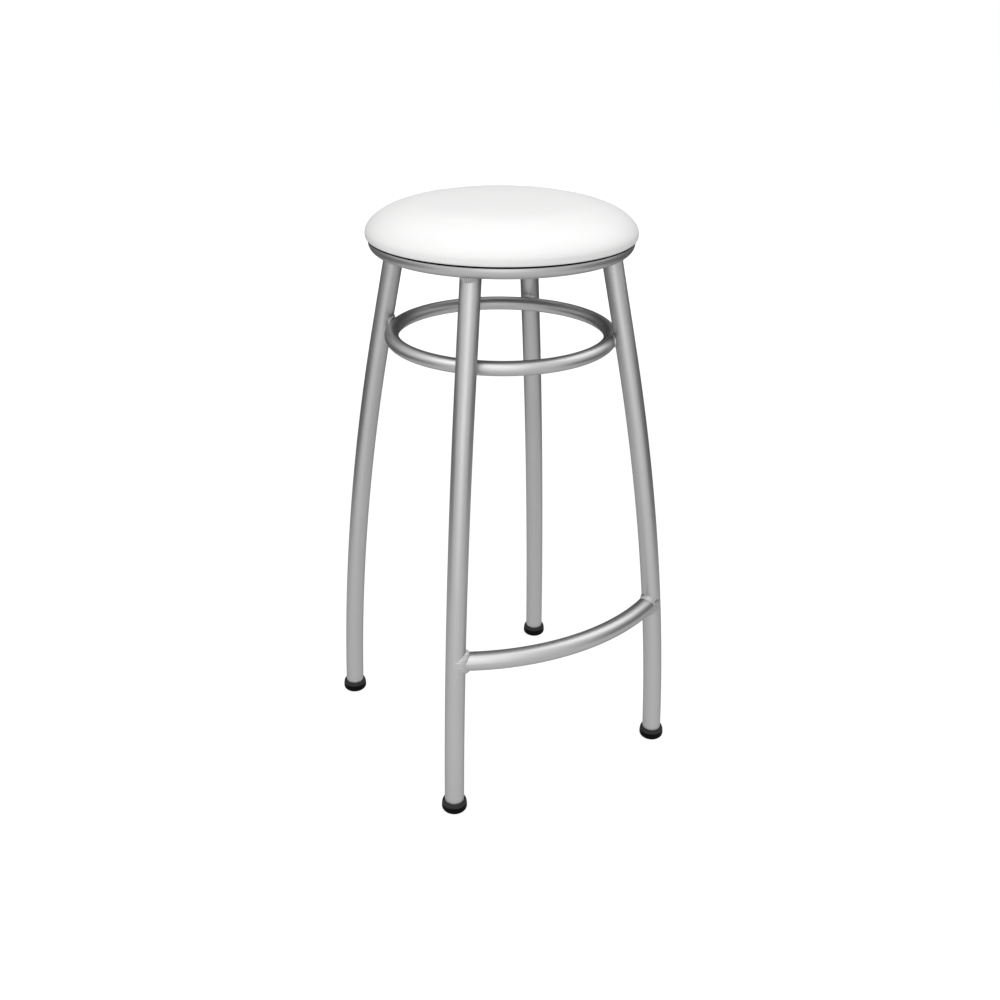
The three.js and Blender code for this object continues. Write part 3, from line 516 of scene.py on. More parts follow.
def leg_grid(leg, top, lower, tubes):
    """Rows go up the outside to the cope under the top hoop and down the bore to the foot."""
    around = loop_turns(TUBE_COLUMNS)
    end = leg_end(leg, top, around, leg.tube, tubes)
    notch_start, notch_end = lower.height - NOTCH_ZONE, lower.height + NOTCH_ZONE
    zone_start = top.height - TOP_ZONE
    fixed = np.concatenate([
        np.linspace(tubes.leg_floor, notch_start, SHAFT_ROWS, endpoint=False),
        np.linspace(notch_start, notch_end, NOTCH_ROWS, endpoint=False),
        np.linspace(notch_end, zone_start, UPPER_ROWS),
    ])
    share = np.sin(np.linspace(0, math.pi / 2, COPE_ROWS))[1:, None]
    heights = np.vstack([
        np.repeat(fixed[:, None], TUBE_COLUMNS, axis=1),
        zone_start + share * (end - zone_start),
    ])
    outside = leg.point(around, notched_reach(leg, lower, around, heights, tubes.fit_gap), heights)
    bore_rise = leg_end(leg, top, around, leg.bore, tubes) - tubes.leg_floor
    bore_heights = tubes.leg_floor + np.linspace(1, 0, BORE_ROWS)[:, None] * bore_rise
    return np.concatenate([outside, leg.point(around, leg.bore, bore_heights)])


def footrest_grid(rest, leg, gap):
    """Rows go along the arc from one leg to the other, and back in the bore."""
    around = loop_turns(TUBE_COLUMNS)
    turns = np.linspace(0, rest.half_turn, SEARCH_SAMPLES)

    def rows(reach, shares):
        outwards, up = reach * np.cos(around), reach * np.sin(around)
        probe = rest.point(turns, outwards[:, None], up[:, None])
        end, _ = first_meeting(turns, rest.leg_distance(leg, probe) - leg.tube - gap)
        return rest.point(shares[:, None] * end, outwards, up)

    outside = rows(rest.tube, np.sin(np.linspace(-math.pi / 2, math.pi / 2, REST_STATIONS)))
    return np.concatenate([outside, rows(rest.bore, np.linspace(1, -1, REST_BORE_ROWS))])


# Welds

RIPPLE_POWER = 0.7  # below 1 makes a ripple's crest flatter than its valley
RUN_OUT_POWER = 10  # larger makes the run-out at a weld's ends shorter
RUN_OUT_SHARE = 0.92
TAB_RUN_OUT_SHARE = 0.95
LEAST_SIDEWAYS = 0.05  # keeps a division from reaching zero


def weld_grid(turns, meet, first_toe, second_toe, welds, open_gap=0.0):
    """A weld in the corner of two tubes, as stations along its seam with a closed section at each.

    A point of the weld's face has distances from the two faces that, as shares of the toes and
    raised to the fullness, add up to one. Under the toes the section sinks into both tubes, and
    into the first one deeper by the gap that the tubes leave open.
    The size ripples along the seam and runs out at both ends.
    """
    seam = meet(turns, 0.0, 0.0)
    steps = np.linalg.norm(np.diff(seam, axis=0), axis=-1)
    along = np.concatenate([[0], np.cumsum(steps)])[:, None]
    ripple = np.abs(np.sin(math.pi * along / welds.ripple_pitch)) ** RIPPLE_POWER
    from_middle = np.abs(2 * along / along[-1] - 1)
    run_out = np.sqrt(1 - from_middle**RUN_OUT_POWER * RUN_OUT_SHARE)
    size = run_out * (1 - welds.ripple_share + 2 * welds.ripple_share * ripple)
    face = np.linspace(0, math.pi / 2, BEAD_FACE_STEPS)
    under = np.full(size.shape, -welds.sink)
    first_under = under - np.reshape(open_gap, (-1, 1))
    first_toe = np.reshape(first_toe, (-1, 1)) * size
    second_toe = np.reshape(second_toe, (-1, 1)) * size
    power = 2 / welds.fullness
    first = np.hstack([first_toe * np.cos(face) ** power, first_under, first_under, first_toe])
    second = np.hstack([second_toe * np.sin(face) ** power, second_toe, under, under])
    return meet(turns[:, None], first, second)


def deepened(*arrays):
    """The arrays brought to one shape, with an axis more for the samples of a search."""
    return (array[..., None] for array in np.broadcast_arrays(*arrays))


def top_weld_grid(leg, hoop, welds):
    """Round the outer side of a leg, up to where its lines pass inside the top hoop."""
    clear_radius = hoop.radius - hoop.tube
    end_cosine = clear_radius**2 - leg.radius_at_hoop**2 - leg.tube**2
    end_turn = math.acos(end_cosine / (2 * leg.radius_at_hoop * leg.tube))
    heights = np.linspace(hoop.height - LEG_SEARCH_DEPTH, hoop.height, SEARCH_SAMPLES)

    def meet(turn, from_leg, from_hoop):
        turn, from_leg, from_hoop = deepened(turn, from_leg, from_hoop)
        probe = leg.point(turn, leg.tube + from_leg, heights)
        height, _ = first_meeting(heights, hoop.distance(probe) - hoop.tube - from_hoop)
        return leg.point(turn[..., 0], leg.tube + from_leg[..., 0], height)

    turns = np.linspace(-end_turn, end_turn, BEAD_STATIONS)
    drop = welds.top_drop * np.maximum(np.cos(turns), 0) ** 2
    return weld_grid(turns, meet, welds.top_toe, welds.top_toe + drop, welds)


def lower_weld_grid(leg, hoop, welds):
    """Round the notch of the lower hoop, on rays from its middle, open on the under side."""

    def meet(turn, from_leg, from_hoop):
        turn, from_leg, from_hoop = np.broadcast_arrays(turn, from_leg, from_hoop)

        def between_tubes(reach):
            y, z = reach * np.cos(turn), hoop.height + reach * np.sin(turn)

            def nearer_the_leg(x):
                points = np.stack([x, y, z], axis=-1)
                from_hoop_face = hoop.distance(points) - hoop.tube - from_hoop
                return from_hoop_face > leg.distance(points) - leg.tube - from_leg

            x = turning_point(np.full(y.shape, hoop.radius), leg.radius(z), nearer_the_leg)
            return np.stack([x, y, z], axis=-1)

        def apart(reach):
            return leg.distance(between_tubes(reach)) > leg.tube + from_leg

        nearest, furthest = np.zeros(turn.shape), np.full(turn.shape, leg.tube)
        return between_tubes(turning_point(nearest, furthest, apart))

    end_turn = math.pi - welds.lower_opening / 2
    turns = math.pi / 2 + np.linspace(-end_turn, end_turn, BEAD_STATIONS)
    rise = welds.lower_rise * np.maximum(np.sin(turns), 0) ** 2
    return weld_grid(turns, meet, welds.lower_toe, welds.lower_toe + rise, welds)


def footrest_weld_grid(rest, leg, welds):
    """All round the right end of the footrest.

    The toe on the footrest lies a set length beyond the seam. The toe on the leg is held inside
    the leg's own width, where the footrest's side nearly touches it. Where that side passes the
    leg, the weld fills the gap between them.
    """
    turns_along = np.linspace(0, rest.half_turn, SEARCH_SAMPLES)
    shift = rest.inset * math.cos(rest.half_turn)

    def clearance(around, from_rest):
        outwards = (rest.tube + from_rest) * np.cos(around)
        up = (rest.tube + from_rest) * np.sin(around)
        probe = rest.point(turns_along, outwards, up)
        return rest.leg_distance(leg, probe) - leg.tube, outwards, up

    def meet(around, from_rest, from_leg):
        around, from_rest, from_leg = deepened(around, from_rest, from_leg)
        gaps, outwards, up = clearance(around, from_rest)
        turn, _ = first_meeting(turns_along, gaps - from_leg)
        return rest.point(turn, outwards[..., 0], up[..., 0])

    end_turn = math.pi + welds.rest_overlap / 2
    around = np.linspace(-end_turn, end_turn, BEAD_STATIONS)
    offset = np.abs(rest.tube * np.cos(around) - shift)
    seam_depth = np.sqrt(np.maximum(leg.tube**2 - offset**2, 0))
    leg_toe = np.hypot(seam_depth + welds.rest_length, offset) - leg.tube
    leg_side = leg.tube + np.sign(np.cos(around)) * shift
    sideways = np.maximum(np.abs(np.cos(around)), LEAST_SIDEWAYS)
    room = np.maximum(leg_side / sideways - rest.tube, welds.rest_least)
    rest_toe = 1 / (welds.rest_toe**-4 + room**-4) ** 0.25
    open_gap = np.maximum(clearance(around[:, None], 0.0)[0].min(axis=-1), 0)
    return weld_grid(around, meet, rest_toe, leg_toe, welds, open_gap)


def tab_weld_grid(hoop, welds):
    """A short round bead under a fixing tab's outer end, along the inner side of the top hoop."""
    level = BEAD_MIDDLE[2] + BEAD_HALF[2] - welds.tab_toe / 2
    inset = math.sqrt((hoop.tube + welds.tab_toe / 2) ** 2 - (level - hoop.height) ** 2)
    radius = hoop.radius - inset
    half_turn = BEAD_HALF[1] / radius
    share = np.linspace(-1, 1, BEAD_STATIONS)[:, None]
    ripple = np.abs(np.sin(math.pi * share * BEAD_HALF[1] / welds.ripple_pitch)) ** RIPPLE_POWER
    run_out = np.sqrt(1 - share**RUN_OUT_POWER * TAB_RUN_OUT_SHARE)
    size = welds.tab_toe * run_out * (1 - welds.ripple_share * (1 - ripple))
    around = loop_turns(HOOP_COLUMNS)
    reach = radius + size * np.cos(around)
    return round_axis(reach, share * half_turn, level + size * np.sin(around))


# Foot caps, gasket and fixings

CAP_EDGE, CAP_LIP, CAP_FLOOR = 0.006, 0.0007, 0.004
CAP_GROOVES = (0.0045, 0.0078)  # radii of the grooves in a cap's foot
GROOVE, GROOVE_DEPTH = 0.0009, 0.0005
SHOULDER_END = math.pi / 2 * 0.86
SHOULDER_POWER = 0.9
MOUTH_START = 0.35
CORNER_CUT = 0.0005


def cap_profile(leg, gap):
    """A squat ball: foot with two shallow grooves, round edge, oval shoulder and rolled mouth."""
    width, height = CAP_HALF[0], 2 * CAP_HALF[2]
    pocket = leg.tube + gap
    grooves = np.vstack([arc([centre, 0.0], GROOVE, math.pi, 0, 7) for centre in CAP_GROOVES])
    bottom = np.vstack([[0.0, 0.0], grooves * [1.0, GROOVE_DEPTH / GROOVE]])
    mouth = [pocket + CAP_LIP, height - CAP_LIP]
    start, end = np.array([width, CAP_EDGE]), on_circle(mouth, CAP_LIP, MOUTH_START)
    turn = np.linspace(0, SHOULDER_END, 18)[:, None]
    shares = np.hstack([1 - np.cos(turn) ** SHOULDER_POWER, np.sin(turn) / math.sin(SHOULDER_END)])
    return np.vstack([
        bottom,
        arc([width - CAP_EDGE, CAP_EDGE], CAP_EDGE, -math.pi / 2, 0),
        (start + (end - start) * shares)[1:-1],
        arc(mouth, CAP_LIP, MOUTH_START, math.pi, 9),
        [[pocket, CAP_FLOOR + CORNER_CUT], [pocket - CORNER_CUT, CAP_FLOOR], [0.0, CAP_FLOOR]],
    ])


def gasket_profile(hoop, seat):
    """A band on the hoop's shoulder: an outer and an inner arc with rounded ends."""
    centre = [hoop.radius, hoop.height]
    inner, half = hoop.tube + seat.gasket_gap, seat.gasket / 2
    outer, middle = inner + seat.gasket, inner + half
    start = seat.gasket_start + half / middle
    end = math.asin(hoop.tube / outer) - half / middle
    return np.vstack([
        arc(centre, outer, start, end, 16),
        arc(on_circle(centre, middle, end), half, end, end + math.pi, 8)[1:-1],
        arc(centre, inner, end, start, 16),
        arc(on_circle(centre, middle, start), half, start + math.pi, start + 2 * math.pi, 8)[1:-1],
    ])


def ends_of(middle, half):
    """A node's lowest and highest level, from its box."""
    return middle[2] - half[2], middle[2] + half[2]


def fixing_grid(rows, around):
    """A grid round a fixing's own axis, from pairs of a reach and a level."""
    reach = np.stack([np.broadcast_to(row_reach, around.shape) for row_reach, _ in rows])
    level = np.array([[row_level] for _, row_level in rows])
    return round_axis(reach, around, level) + [FIXING_RADIUS, 0.0, 0.0]


FIXING_HOLE = 0.0033
TAB_EDGE, WASHER_EDGE = 0.0004, 0.0003
LEAST_SINE = 0.001  # keeps a division from reaching zero


def tab_grid(hoop, gap):
    """A plate round its screw hole: the outline is a distance from the hole's middle at each angle.

    It is half the plate's width round the inner end, that width's straight sides further out,
    and the top hoop's curve at the outer end, drawn in by a small round along each edge.
    """
    around = loop_turns(4 * TUBE_COLUMNS)
    (low, high), width = ends_of(TAB_MIDDLE, TAB_HALF), TAB_HALF[1]
    forwards, sideways = np.cos(around), FIXING_RADIUS * np.sin(around)

    def outline(height):
        rim = hoop.radius - math.sqrt((hoop.tube + gap) ** 2 - (height - hoop.height) ** 2)
        to_rim = np.sqrt(rim**2 - sideways**2) - FIXING_RADIUS * forwards
        to_side = width / np.maximum(np.abs(np.sin(around)), LEAST_SINE)
        return np.where(forwards > 0, np.minimum(to_rim, to_side), width)

    return fixing_grid([
        (FIXING_HOLE, low),
        (outline(low) - TAB_EDGE, low),
        (outline(low + TAB_EDGE), low + TAB_EDGE),
        (outline(high - TAB_EDGE), high - TAB_EDGE),
        (outline(high) - TAB_EDGE, high),
        (FIXING_HOLE, high),
    ], around)


HEAD_HEIGHT, SHANK, SHANK_TIP = 0.0036, 0.003, 0.0008
SCREW_EDGE = 0.0001
# Reaches of the drilled point, the socket's floor and its bevelled rim, as shares of the socket
POINT_SHARE, FLOOR_SHARE, RIM_SHARE = 0.02, 0.9, 1.06
SOCKET, SOCKET_DEPTH, SOCKET_RIM, DRILL_DEPTH = 0.002, 0.002, 0.0031, 0.0006


def screw_grid():
    """A turned button head and shank with a hexagon socket: apothem over the angle's cosine."""
    around = loop_turns(TURNED_COLUMNS)
    (bottom, top), head, sixth = ends_of(SCREW_MIDDLE, SCREW_HALF), SCREW_HALF[0], math.pi / 3
    hexagon = SOCKET / np.cos(np.mod(around, sixth) - sixth / 2)
    seat, floor = bottom + HEAD_HEIGHT, bottom + SOCKET_DEPTH
    dome = np.linspace(math.asin(SOCKET_RIM / head), math.pi / 2, 12)
    return fixing_grid([
        (hexagon * POINT_SHARE, floor + DRILL_DEPTH),
        (hexagon * FLOOR_SHARE, floor),
        (hexagon, floor - SCREW_EDGE),
        (hexagon, bottom + 2 * SCREW_EDGE),
        (hexagon * RIM_SHARE, bottom + SCREW_EDGE / 2),
        *((head * math.sin(turn), seat - HEAD_HEIGHT * math.cos(turn)) for turn in dome),
        (head - SCREW_EDGE, seat + SCREW_EDGE),
        (SHANK, seat + SCREW_EDGE),
        (SHANK, top - SHANK_TIP),
        (SHANK - SHANK_TIP, top),
    ], around)


def washer_profile():
    """A flat ring with a small round on each of its four edges."""
    (low, high), outer = ends_of(WASHER_MIDDLE, WASHER_HALF), WASHER_HALF[0]
    near, far = FIXING_HOLE + WASHER_EDGE, outer - WASHER_EDGE
    under, over = low + WASHER_EDGE, high - WASHER_EDGE
    corners = [(far, under, -90), (far, over, 0), (near, over, 90), (near, under, 180)]
    return np.vstack([
        arc([reach, level], WASHER_EDGE, math.radians(start), math.radians(start + 90), 5)
        for reach, level, start in corners
    ])


# Seat pad

LIP_ENTRY = math.radians(-20)  # where the cover's side runs into its rolled lip
SIDE_PULL = 0.4
BLOCK_SQUARENESS = 0.78  # size of the square that the seat's inner block is blended with
BLEND_HOOPS = 9  # hoops over which the block's rim turns into a circle
# Shares of the way to the pad's widest line at which its hoops of cells change their spacing
BLOCK_SHARE, CROWN_SHARE, SIDE_SHARE = 0.45, 0.78, 0.985
FREE_FADE = 0.12  # stretch over which the filling stops moving the cover


def crown(seat, hoop, depth, samples):
    """The pad's skin from its middle to its widest line, at a depth under the cover's face.

    With t from a quarter turn to zero, the radius goes as cos t to the side power and the rise
    as sin t to the crown power.
    """
    widest = hoop.height + seat.widest
    share = np.sin(np.linspace(0, math.pi / 2, samples))
    turn = np.arccos(share ** (1 / seat.side_power))
    rise = (SEAT_TOP - widest - depth) * np.sin(turn) ** seat.crown_power
    return np.stack([(SEAT_RADIUS - depth) * share, widest + rise], axis=-1)


def pad_outline(seat, hoop, depth):
    """The cover's whole section: crown, side, rolled lip, hollow over the gasket and turn-under."""
    centre = [hoop.radius, hoop.height]
    reach = hoop.tube + 2 * seat.gasket_gap + seat.gasket
    level = hoop.height + hoop.tube + seat.gasket_gap
    lip_centre = on_circle(centre, reach + seat.lip_round, seat.lip_angle)
    lip = arc(lip_centre, seat.lip_round, LIP_ENTRY, -math.pi + seat.lip_angle)
    top = crown(seat, hoop, depth, PROFILE_SAMPLES)
    pull = (top[-1, 1] - lip[0, 1]) * SIDE_PULL
    entry = np.array([math.sin(LIP_ENTRY), -math.cos(LIP_ENTRY)])
    side = curve_between(top[-1], top[-1] - [0, pull], lip[0] - pull * entry, lip[0], 24)
    hollow = arc(centre, reach, seat.lip_angle, math.asin((level - hoop.height) / reach))
    return np.vstack([top, side[1:], lip[1:], hollow[1:], [[seat.turn_under, level]]])


def disc_points(edge_lengths):
    """Flat points of a round sheet with even cells: a square block in the middle, hoops outside it.

    The block is half a square and half the same square rounded to a disc, by scaling each
    side by the root of one less half the other side squared. The hoops pass from its rim to
    circles at the given distances.
    """
    side = np.linspace(-1, 1, SEAT_BLOCK_CELLS + 1)
    across, up = np.meshgrid(side, side, indexing="ij")
    square = np.stack([across, up], axis=-1) * BLOCK_SQUARENESS
    disc = np.stack([across * np.sqrt(1 - up**2 / 2), up * np.sqrt(1 - across**2 / 2)], axis=-1)
    block = edge_lengths[0] * (square + disc) / 2
    index = np.arange(side.size**2).reshape(side.size, side.size)
    rim = np.concatenate([index[:-1, 0], index[-1, :-1], index[:0:-1, -1], index[0, :0:-1]])
    rim_points = block.reshape(-1, 2)[rim]
    first_turn = np.arctan2(rim_points[0, 1], rim_points[0, 0])
    turn = first_turn + np.arange(len(rim)) * 2 * math.pi / len(rim)
    circle = np.stack([np.cos(turn), np.sin(turn)], axis=-1)
    lengths = edge_lengths[1:, None, None]
    blend = np.clip(np.arange(1, len(edge_lengths)) / BLEND_HOOPS, 0, 1)[:, None, None]
    rim_reach = np.linalg.norm(rim_points, axis=-1)[:, None]
    grown = rim_points / rim_reach * (lengths - edge_lengths[0] + rim_reach)
    hoops = (1 - blend) * grown + blend * circle * lengths
    outside = index.size + np.arange(hoops.shape[0] * len(rim)).reshape(-1, len(rim))
    order = np.vstack([rim, outside])
    faces = np.vstack([quads(index), quads(np.hstack([order, order[:, :1]]))])
    return np.vstack([block.reshape(-1, 2), hoops.reshape(-1, 2)]), faces


def cover_sheet(seat, hoop, depth):
    """The cover as one sheet, whose flat points lie as far from the middle as along the section.

    Also gives each point's freedom to move when the cover is filled: one at the middle of the
    pad, falling to zero before its widest line.
    """
    outline = pad_outline(seat, hoop, depth)
    way = np.concatenate([[0], np.cumsum(np.linalg.norm(np.diff(outline, axis=0), axis=-1))])
    widest = way[PROFILE_SAMPLES - 1]
    lip_end = way[-1] - (hoop.radius - seat.turn_under)
    edge_lengths = np.concatenate([
        np.linspace(BLOCK_SHARE * widest, CROWN_SHARE * widest, 12, endpoint=False),
        np.linspace(CROWN_SHARE * widest, SIDE_SHARE * widest, 14, endpoint=False),
        np.linspace(SIDE_SHARE * widest, lip_end, 18, endpoint=False),
        np.linspace(lip_end, way[-1], 6),
    ])
    flat, faces = disc_points(edge_lengths)
    reach = np.linalg.norm(flat, axis=-1)
    turn = np.arctan2(flat[:, 1], flat[:, 0])
    radius, level = (np.interp(reach, way, column) for column in outline.T)
    free = (SIDE_SHARE * widest - reach) / (FREE_FADE * widest)
    return round_axis(radius, turn, level), faces, free


def fill_cover(piece, free, seat):
    """Lets the filling push the cover out in a cloth simulation, and keeps the normal move.

    Each move m becomes L tanh(m / L) times the vertex's freedom, so that it never passes the
    limit L, which is the swell outwards and the give inwards.
    """
    scene = bpy.context.scene
    group = piece.vertex_groups.new(name="held")
    group.add(np.flatnonzero(free <= 0).tolist(), 1.0, "REPLACE")
    cloth = piece.modifiers.new("filling", "CLOTH")
    cloth.settings.vertex_group_mass = group.name
    cloth.settings.use_pressure = True
    cloth.settings.uniform_pressure_force = seat.pressure
    cloth.settings.effector_weights.gravity = 0.0
    cloth.point_cache.frame_end = FILLING_FRAMES
    for moment in range(1, FILLING_FRAMES + 1):
        scene.frame_set(moment)
    filled = piece.evaluated_get(bpy.context.evaluated_depsgraph_get())
    count = len(piece.data.vertices)
    start, end, normals = (np.empty(count * 3, np.float32) for _ in range(3))
    piece.data.vertices.foreach_get("co", start)
    filled.data.vertices.foreach_get("co", end)
    piece.data.vertex_normals.foreach_get("vector", normals)
    normals = normals.reshape(-1, 3)
    outward = np.einsum("ij,ij->i", (end - start).reshape(-1, 3), normals)
    limit = np.where(outward > 0, seat.swell, seat.give)
    kept = limit * np.tanh(outward / limit) * np.clip(free, 0, 1)
    piece.modifiers.remove(cloth)
    piece.vertex_groups.remove(group)
    piece.data.vertices.foreach_set("co", (start.reshape(-1, 3) + normals * kept[:, None]).ravel())
    piece.data.update()
    scene.frame_set(1)


def finish_modifiers(piece):
    """Applies the piece's modifiers, so that its mesh is the final one."""
    filled = piece.evaluated_get(bpy.context.evaluated_depsgraph_get())
    mesh = bpy.data.meshes.new_from_object(filled)
    piece.modifiers.clear()
    old = piece.data
    piece.data = mesh
    bpy.data.meshes.remove(old)


# Finishes

class Value:
    """A socket of a finish that plain operators work on."""

    def __init__(self, finish, socket):
        self.finish, self.socket = finish, socket

    def maths(self, operation, first, second):
        return self.finish.node("ShaderNodeMath", {"operation": operation}, {0: first, 1: second})

    def __add__(self, other):
        return self.maths("ADD", self, other)

    def __rsub__(self, other):
        return self.maths("SUBTRACT", other, self)

    def __mul__(self, other):
        return self.maths("MULTIPLY", self, other)

    def __gt__(self, other):
        return self.maths("GREATER_THAN", self, other)

    def larger(self, other):
        return self.maths("MAXIMUM", self, other)

    __radd__, __rmul__ = __add__, __mul__


class Finish:
    """The nodes of one material or of the world."""

    def __init__(self, owner):
        owner.use_nodes = True
        self.tree = owner.node_tree
        self.tree.nodes.clear()

    def node(self, kind, settings, sockets, output=0):
        """Adds a node, sets it up, fills or links its sockets and gives back one output."""
        node = self.tree.nodes.new(kind)
        for key, setting in settings.items():
            setattr(node, key, setting)
        for key, value in sockets.items():
            if isinstance(value, Value):
                self.tree.links.new(value.socket, node.inputs[key])
            elif len(np.shape(value)) and len(value) == 3 and node.inputs[key].type == "RGBA":
                node.inputs[key].default_value = (*value, 1)
            else:
                node.inputs[key].default_value = value
        return Value(self, node.outputs[output]) if len(node.outputs) else None

    def place(self):
        return self.node("ShaderNodeTexCoord", {}, {}, "Object")

    def height(self):
        return self.node("ShaderNodeSeparateXYZ", {}, {0: self.place()}, 2)

    def noise(self, scale, detail=2.0, roughness=0.5):
        """Noise in object space, with cells about one over scale metres wide."""
        sockets = {"Vector": self.place(), "Scale": scale, "Detail": detail, "Roughness": roughness}
        return self.node("ShaderNodeTexNoise", {}, sockets, "Fac")

    def mix(self, share, first, second):
        return self.node("ShaderNodeMix", {"data_type": "RGBA"}, {0: share, 6: first, 7: second}, 2)

    def rise(self, value, start, end):
        """A smooth step from zero at one value to one at another."""
        sockets = {"Value": value, "From Min": start, "From Max": end}
        return self.node("ShaderNodeMapRange", {"interpolation_type": "SMOOTHSTEP"}, sockets)

    def bump(self, height, distance):
        sockets = {"Height": height, "Distance": distance, "Strength": 1.0}
        return self.node("ShaderNodeBump", {}, sockets)

    def seen(self, mirror):
        """One to the camera and through glass, a share in reflections, zero to all other light."""
        kinds = ("Is Camera Ray", "Is Glossy Ray", "Is Transmission Ray")
        camera, glossy, clear = (self.node("ShaderNodeLightPath", {}, {}, kind) for kind in kinds)
        return camera.larger(glossy * mirror).larger(clear)

    def surface(self, **sockets):
        """Ends the finish with a Principled BSDF that has the given sockets."""
        named = {key.replace("_", " "): value for key, value in sockets.items()}
        shader = self.node("ShaderNodeBsdfPrincipled", {}, named)
        self.node("ShaderNodeOutputMaterial", {}, {"Surface": shader})


def shade(colour_value, factor):
    """A colour made lighter or darker."""
    return tuple(min(1.0, channel * factor) for channel in colour_value)


def made(build):
    """The material that a function makes, made at its first use."""
    name = f"{build.__name__}_finish"
    material = bpy.data.materials.get(name)
    if material is None:
        material = bpy.data.materials.new(name)
        build(Finish(material), bpy.context.scene)
    return material


def silver_paint(finish, scene):
    """Powder coat: fine peel, a little cloudiness in gloss and colour, and sparse dark specks."""
    colours = scene.stool_finish
    cloud = finish.noise(14.0, 3.0)
    peel = finish.noise(1500.0, 2.0)
    speck = finish.noise(520.0, 1.0) > 0.72
    base = finish.mix(cloud, shade(colours.paint, 0.96), shade(colours.paint, 1.04))
    base = finish.mix(speck * 0.12, base, shade(colours.paint, 0.5))
    rough = colours.paint_roughness + cloud * 0.06 + peel * 0.04
    finish.surface(
        Base_Color=base, Metallic=0.85, Roughness=rough, Specular_Tint=(0.4, 0.4, 0.4),
        Normal=finish.bump(peel, 0.00002))


def white_vinyl(finish, scene):
    """Upholstery vinyl: a fine pebbled grain, with painted shade making its valleys slightly
    darker.
    """
    vinyl = scene.stool_finish.vinyl
    sockets = {"Vector": finish.place(), "Scale": 1400.0}
    cells = finish.node("ShaderNodeTexVoronoi", {"feature": "SMOOTH_F1"}, sockets, "Distance")
    fine = finish.noise(3800.0, 2.0)
    cloud = finish.noise(11.0, 2.0)
    grain = cells * 0.7 + fine * 0.3
    base = finish.mix(cloud, shade(vinyl, 0.99), shade(vinyl, 1.01))
    # Painted shade: the grain's valleys are made a little darker
    base = finish.mix((1 - grain) * 0.04, base, shade(vinyl, 0.86))
    finish.surface(
        Base_Color=base, Roughness=0.4 + cloud * 0.05 + grain * 0.08, Specular_IOR_Level=0.2,
        Coat_Weight=0.03, Coat_Roughness=0.35, Normal=finish.bump(grain, 0.00003))


def black_rubber(finish, scene):
    """Moulded rubber with a dull, fine-grained skin."""
    rubber = scene.stool_finish.rubber
    fine = finish.noise(1900.0, 3.0)
    finish.surface(
        Base_Color=finish.mix(fine * 0.2, rubber, shade(rubber, 2.0)), Roughness=0.42 + fine * 0.1,
        Specular_IOR_Level=0.04, Normal=finish.bump(fine, 0.00002))


def cap_rubber(finish, scene):
    """The same rubber for the foot caps: painted lighter on the shoulder as a highlight, with dust
    low down.
    """
    colours = scene.stool_finish
    fine = finish.noise(1900.0, 3.0)
    cloud = finish.noise(90.0, 3.0)
    height = finish.height()
    # Painted highlight: the shoulder band between these heights is made lighter, as if lit from
    # above
    shoulder = finish.rise(height, colours.worn_start, colours.worn_end)
    dust = (1 - height * colours.dust_fade).larger(0.0) * cloud
    base = finish.mix(shoulder * (0.85 + fine * 0.3), colours.rubber, colours.worn_rubber)
    base = finish.mix(dust * 0.03, base, colours.dust)
    finish.surface(
        Base_Color=base, Roughness=0.42 + fine * 0.1 + dust * 0.2, Specular_IOR_Level=0.04,
        Normal=finish.bump(fine, 0.00002))


def dust_cloth(finish, scene):
    """Black non-woven cloth: pressed fibres and a fine square emboss."""
    cloth = scene.stool_finish.cloth
    fibres = finish.noise(1300.0, 4.0, 0.7)
    sockets = {"Vector": finish.place(), "Scale": 220.0}
    across, along = (
        finish.node("ShaderNodeTexWave", {"bands_direction": axis}, sockets, "Fac")
        for axis in "XY")
    emboss = across * along
    finish.surface(
        Base_Color=finish.mix(fibres * emboss, shade(cloth, 0.6), shade(cloth, 1.9)),
        Roughness=0.88 + fibres * 0.08, Normal=finish.bump(fibres * 0.5 + emboss, 0.0001))


def seat_foam(finish, scene):
    """Open-cell foam: pits painted darker as shade, with a finer roughness between them."""
    foam = scene.stool_finish.foam
    sockets = {"Vector": finish.place(), "Scale": 900.0}
    pits = finish.node("ShaderNodeTexVoronoi", {}, sockets, "Distance")
    fine = finish.noise(2400.0, 2.0)
    # Painted shade: the pits are made darker
    finish.surface(
        Base_Color=finish.mix(pits, shade(foam, 0.7), shade(foam, 1.08)),
        Roughness=0.9 + fine * 0.06, Normal=finish.bump(pits, 0.0003))


def plywood(finish, scene):
    """Plywood: long grain on the faces and thin veneers that alternate up the edge."""
    colours = scene.stool_finish
    stretch = {"Vector": finish.place(), "Scale": (14.0, 190.0, 30.0)}
    sockets = {"Vector": finish.node("ShaderNodeMapping", {}, stretch), "Scale": 1.0, "Detail": 6.0}
    grain = finish.node("ShaderNodeTexNoise", {}, sockets, "Fac")
    layer = finish.node("ShaderNodeMath", {"operation": "FRACT"}, {0: finish.height() * 350.0})
    light = grain * 0.7 + (layer > 0.5) * 0.3
    finish.surface(
        Base_Color=finish.mix(light, colours.ply_dark, colours.ply_light),
        Roughness=0.62 + grain * 0.2, Normal=finish.bump(grain, 0.0001))


def zinc_plate(finish, scene):
    """Bright zinc: turned marks and a faint cloudy tarnish."""
    zinc = scene.stool_finish.zinc
    cloud = finish.noise(160.0, 3.0)
    marks = finish.noise(2600.0, 2.0)
    finish.surface(
        Base_Color=finish.mix(cloud, shade(zinc, 0.88), shade(zinc, 1.06)), Metallic=1.0,
        Roughness=0.26 + cloud * 0.14 + marks * 0.06, Normal=finish.bump(marks, 0.00001))


def black_felt(finish, scene):
    """Felt of the dark flags: black without gloss, a little patchy."""
    felt = scene.stool_finish.felt
    base = finish.mix(finish.noise(60.0, 3.0), shade(felt, 2 / 3), shade(felt, 4 / 3))
    finish.surface(Base_Color=base, Roughness=1.0, Specular_IOR_Level=0.0)


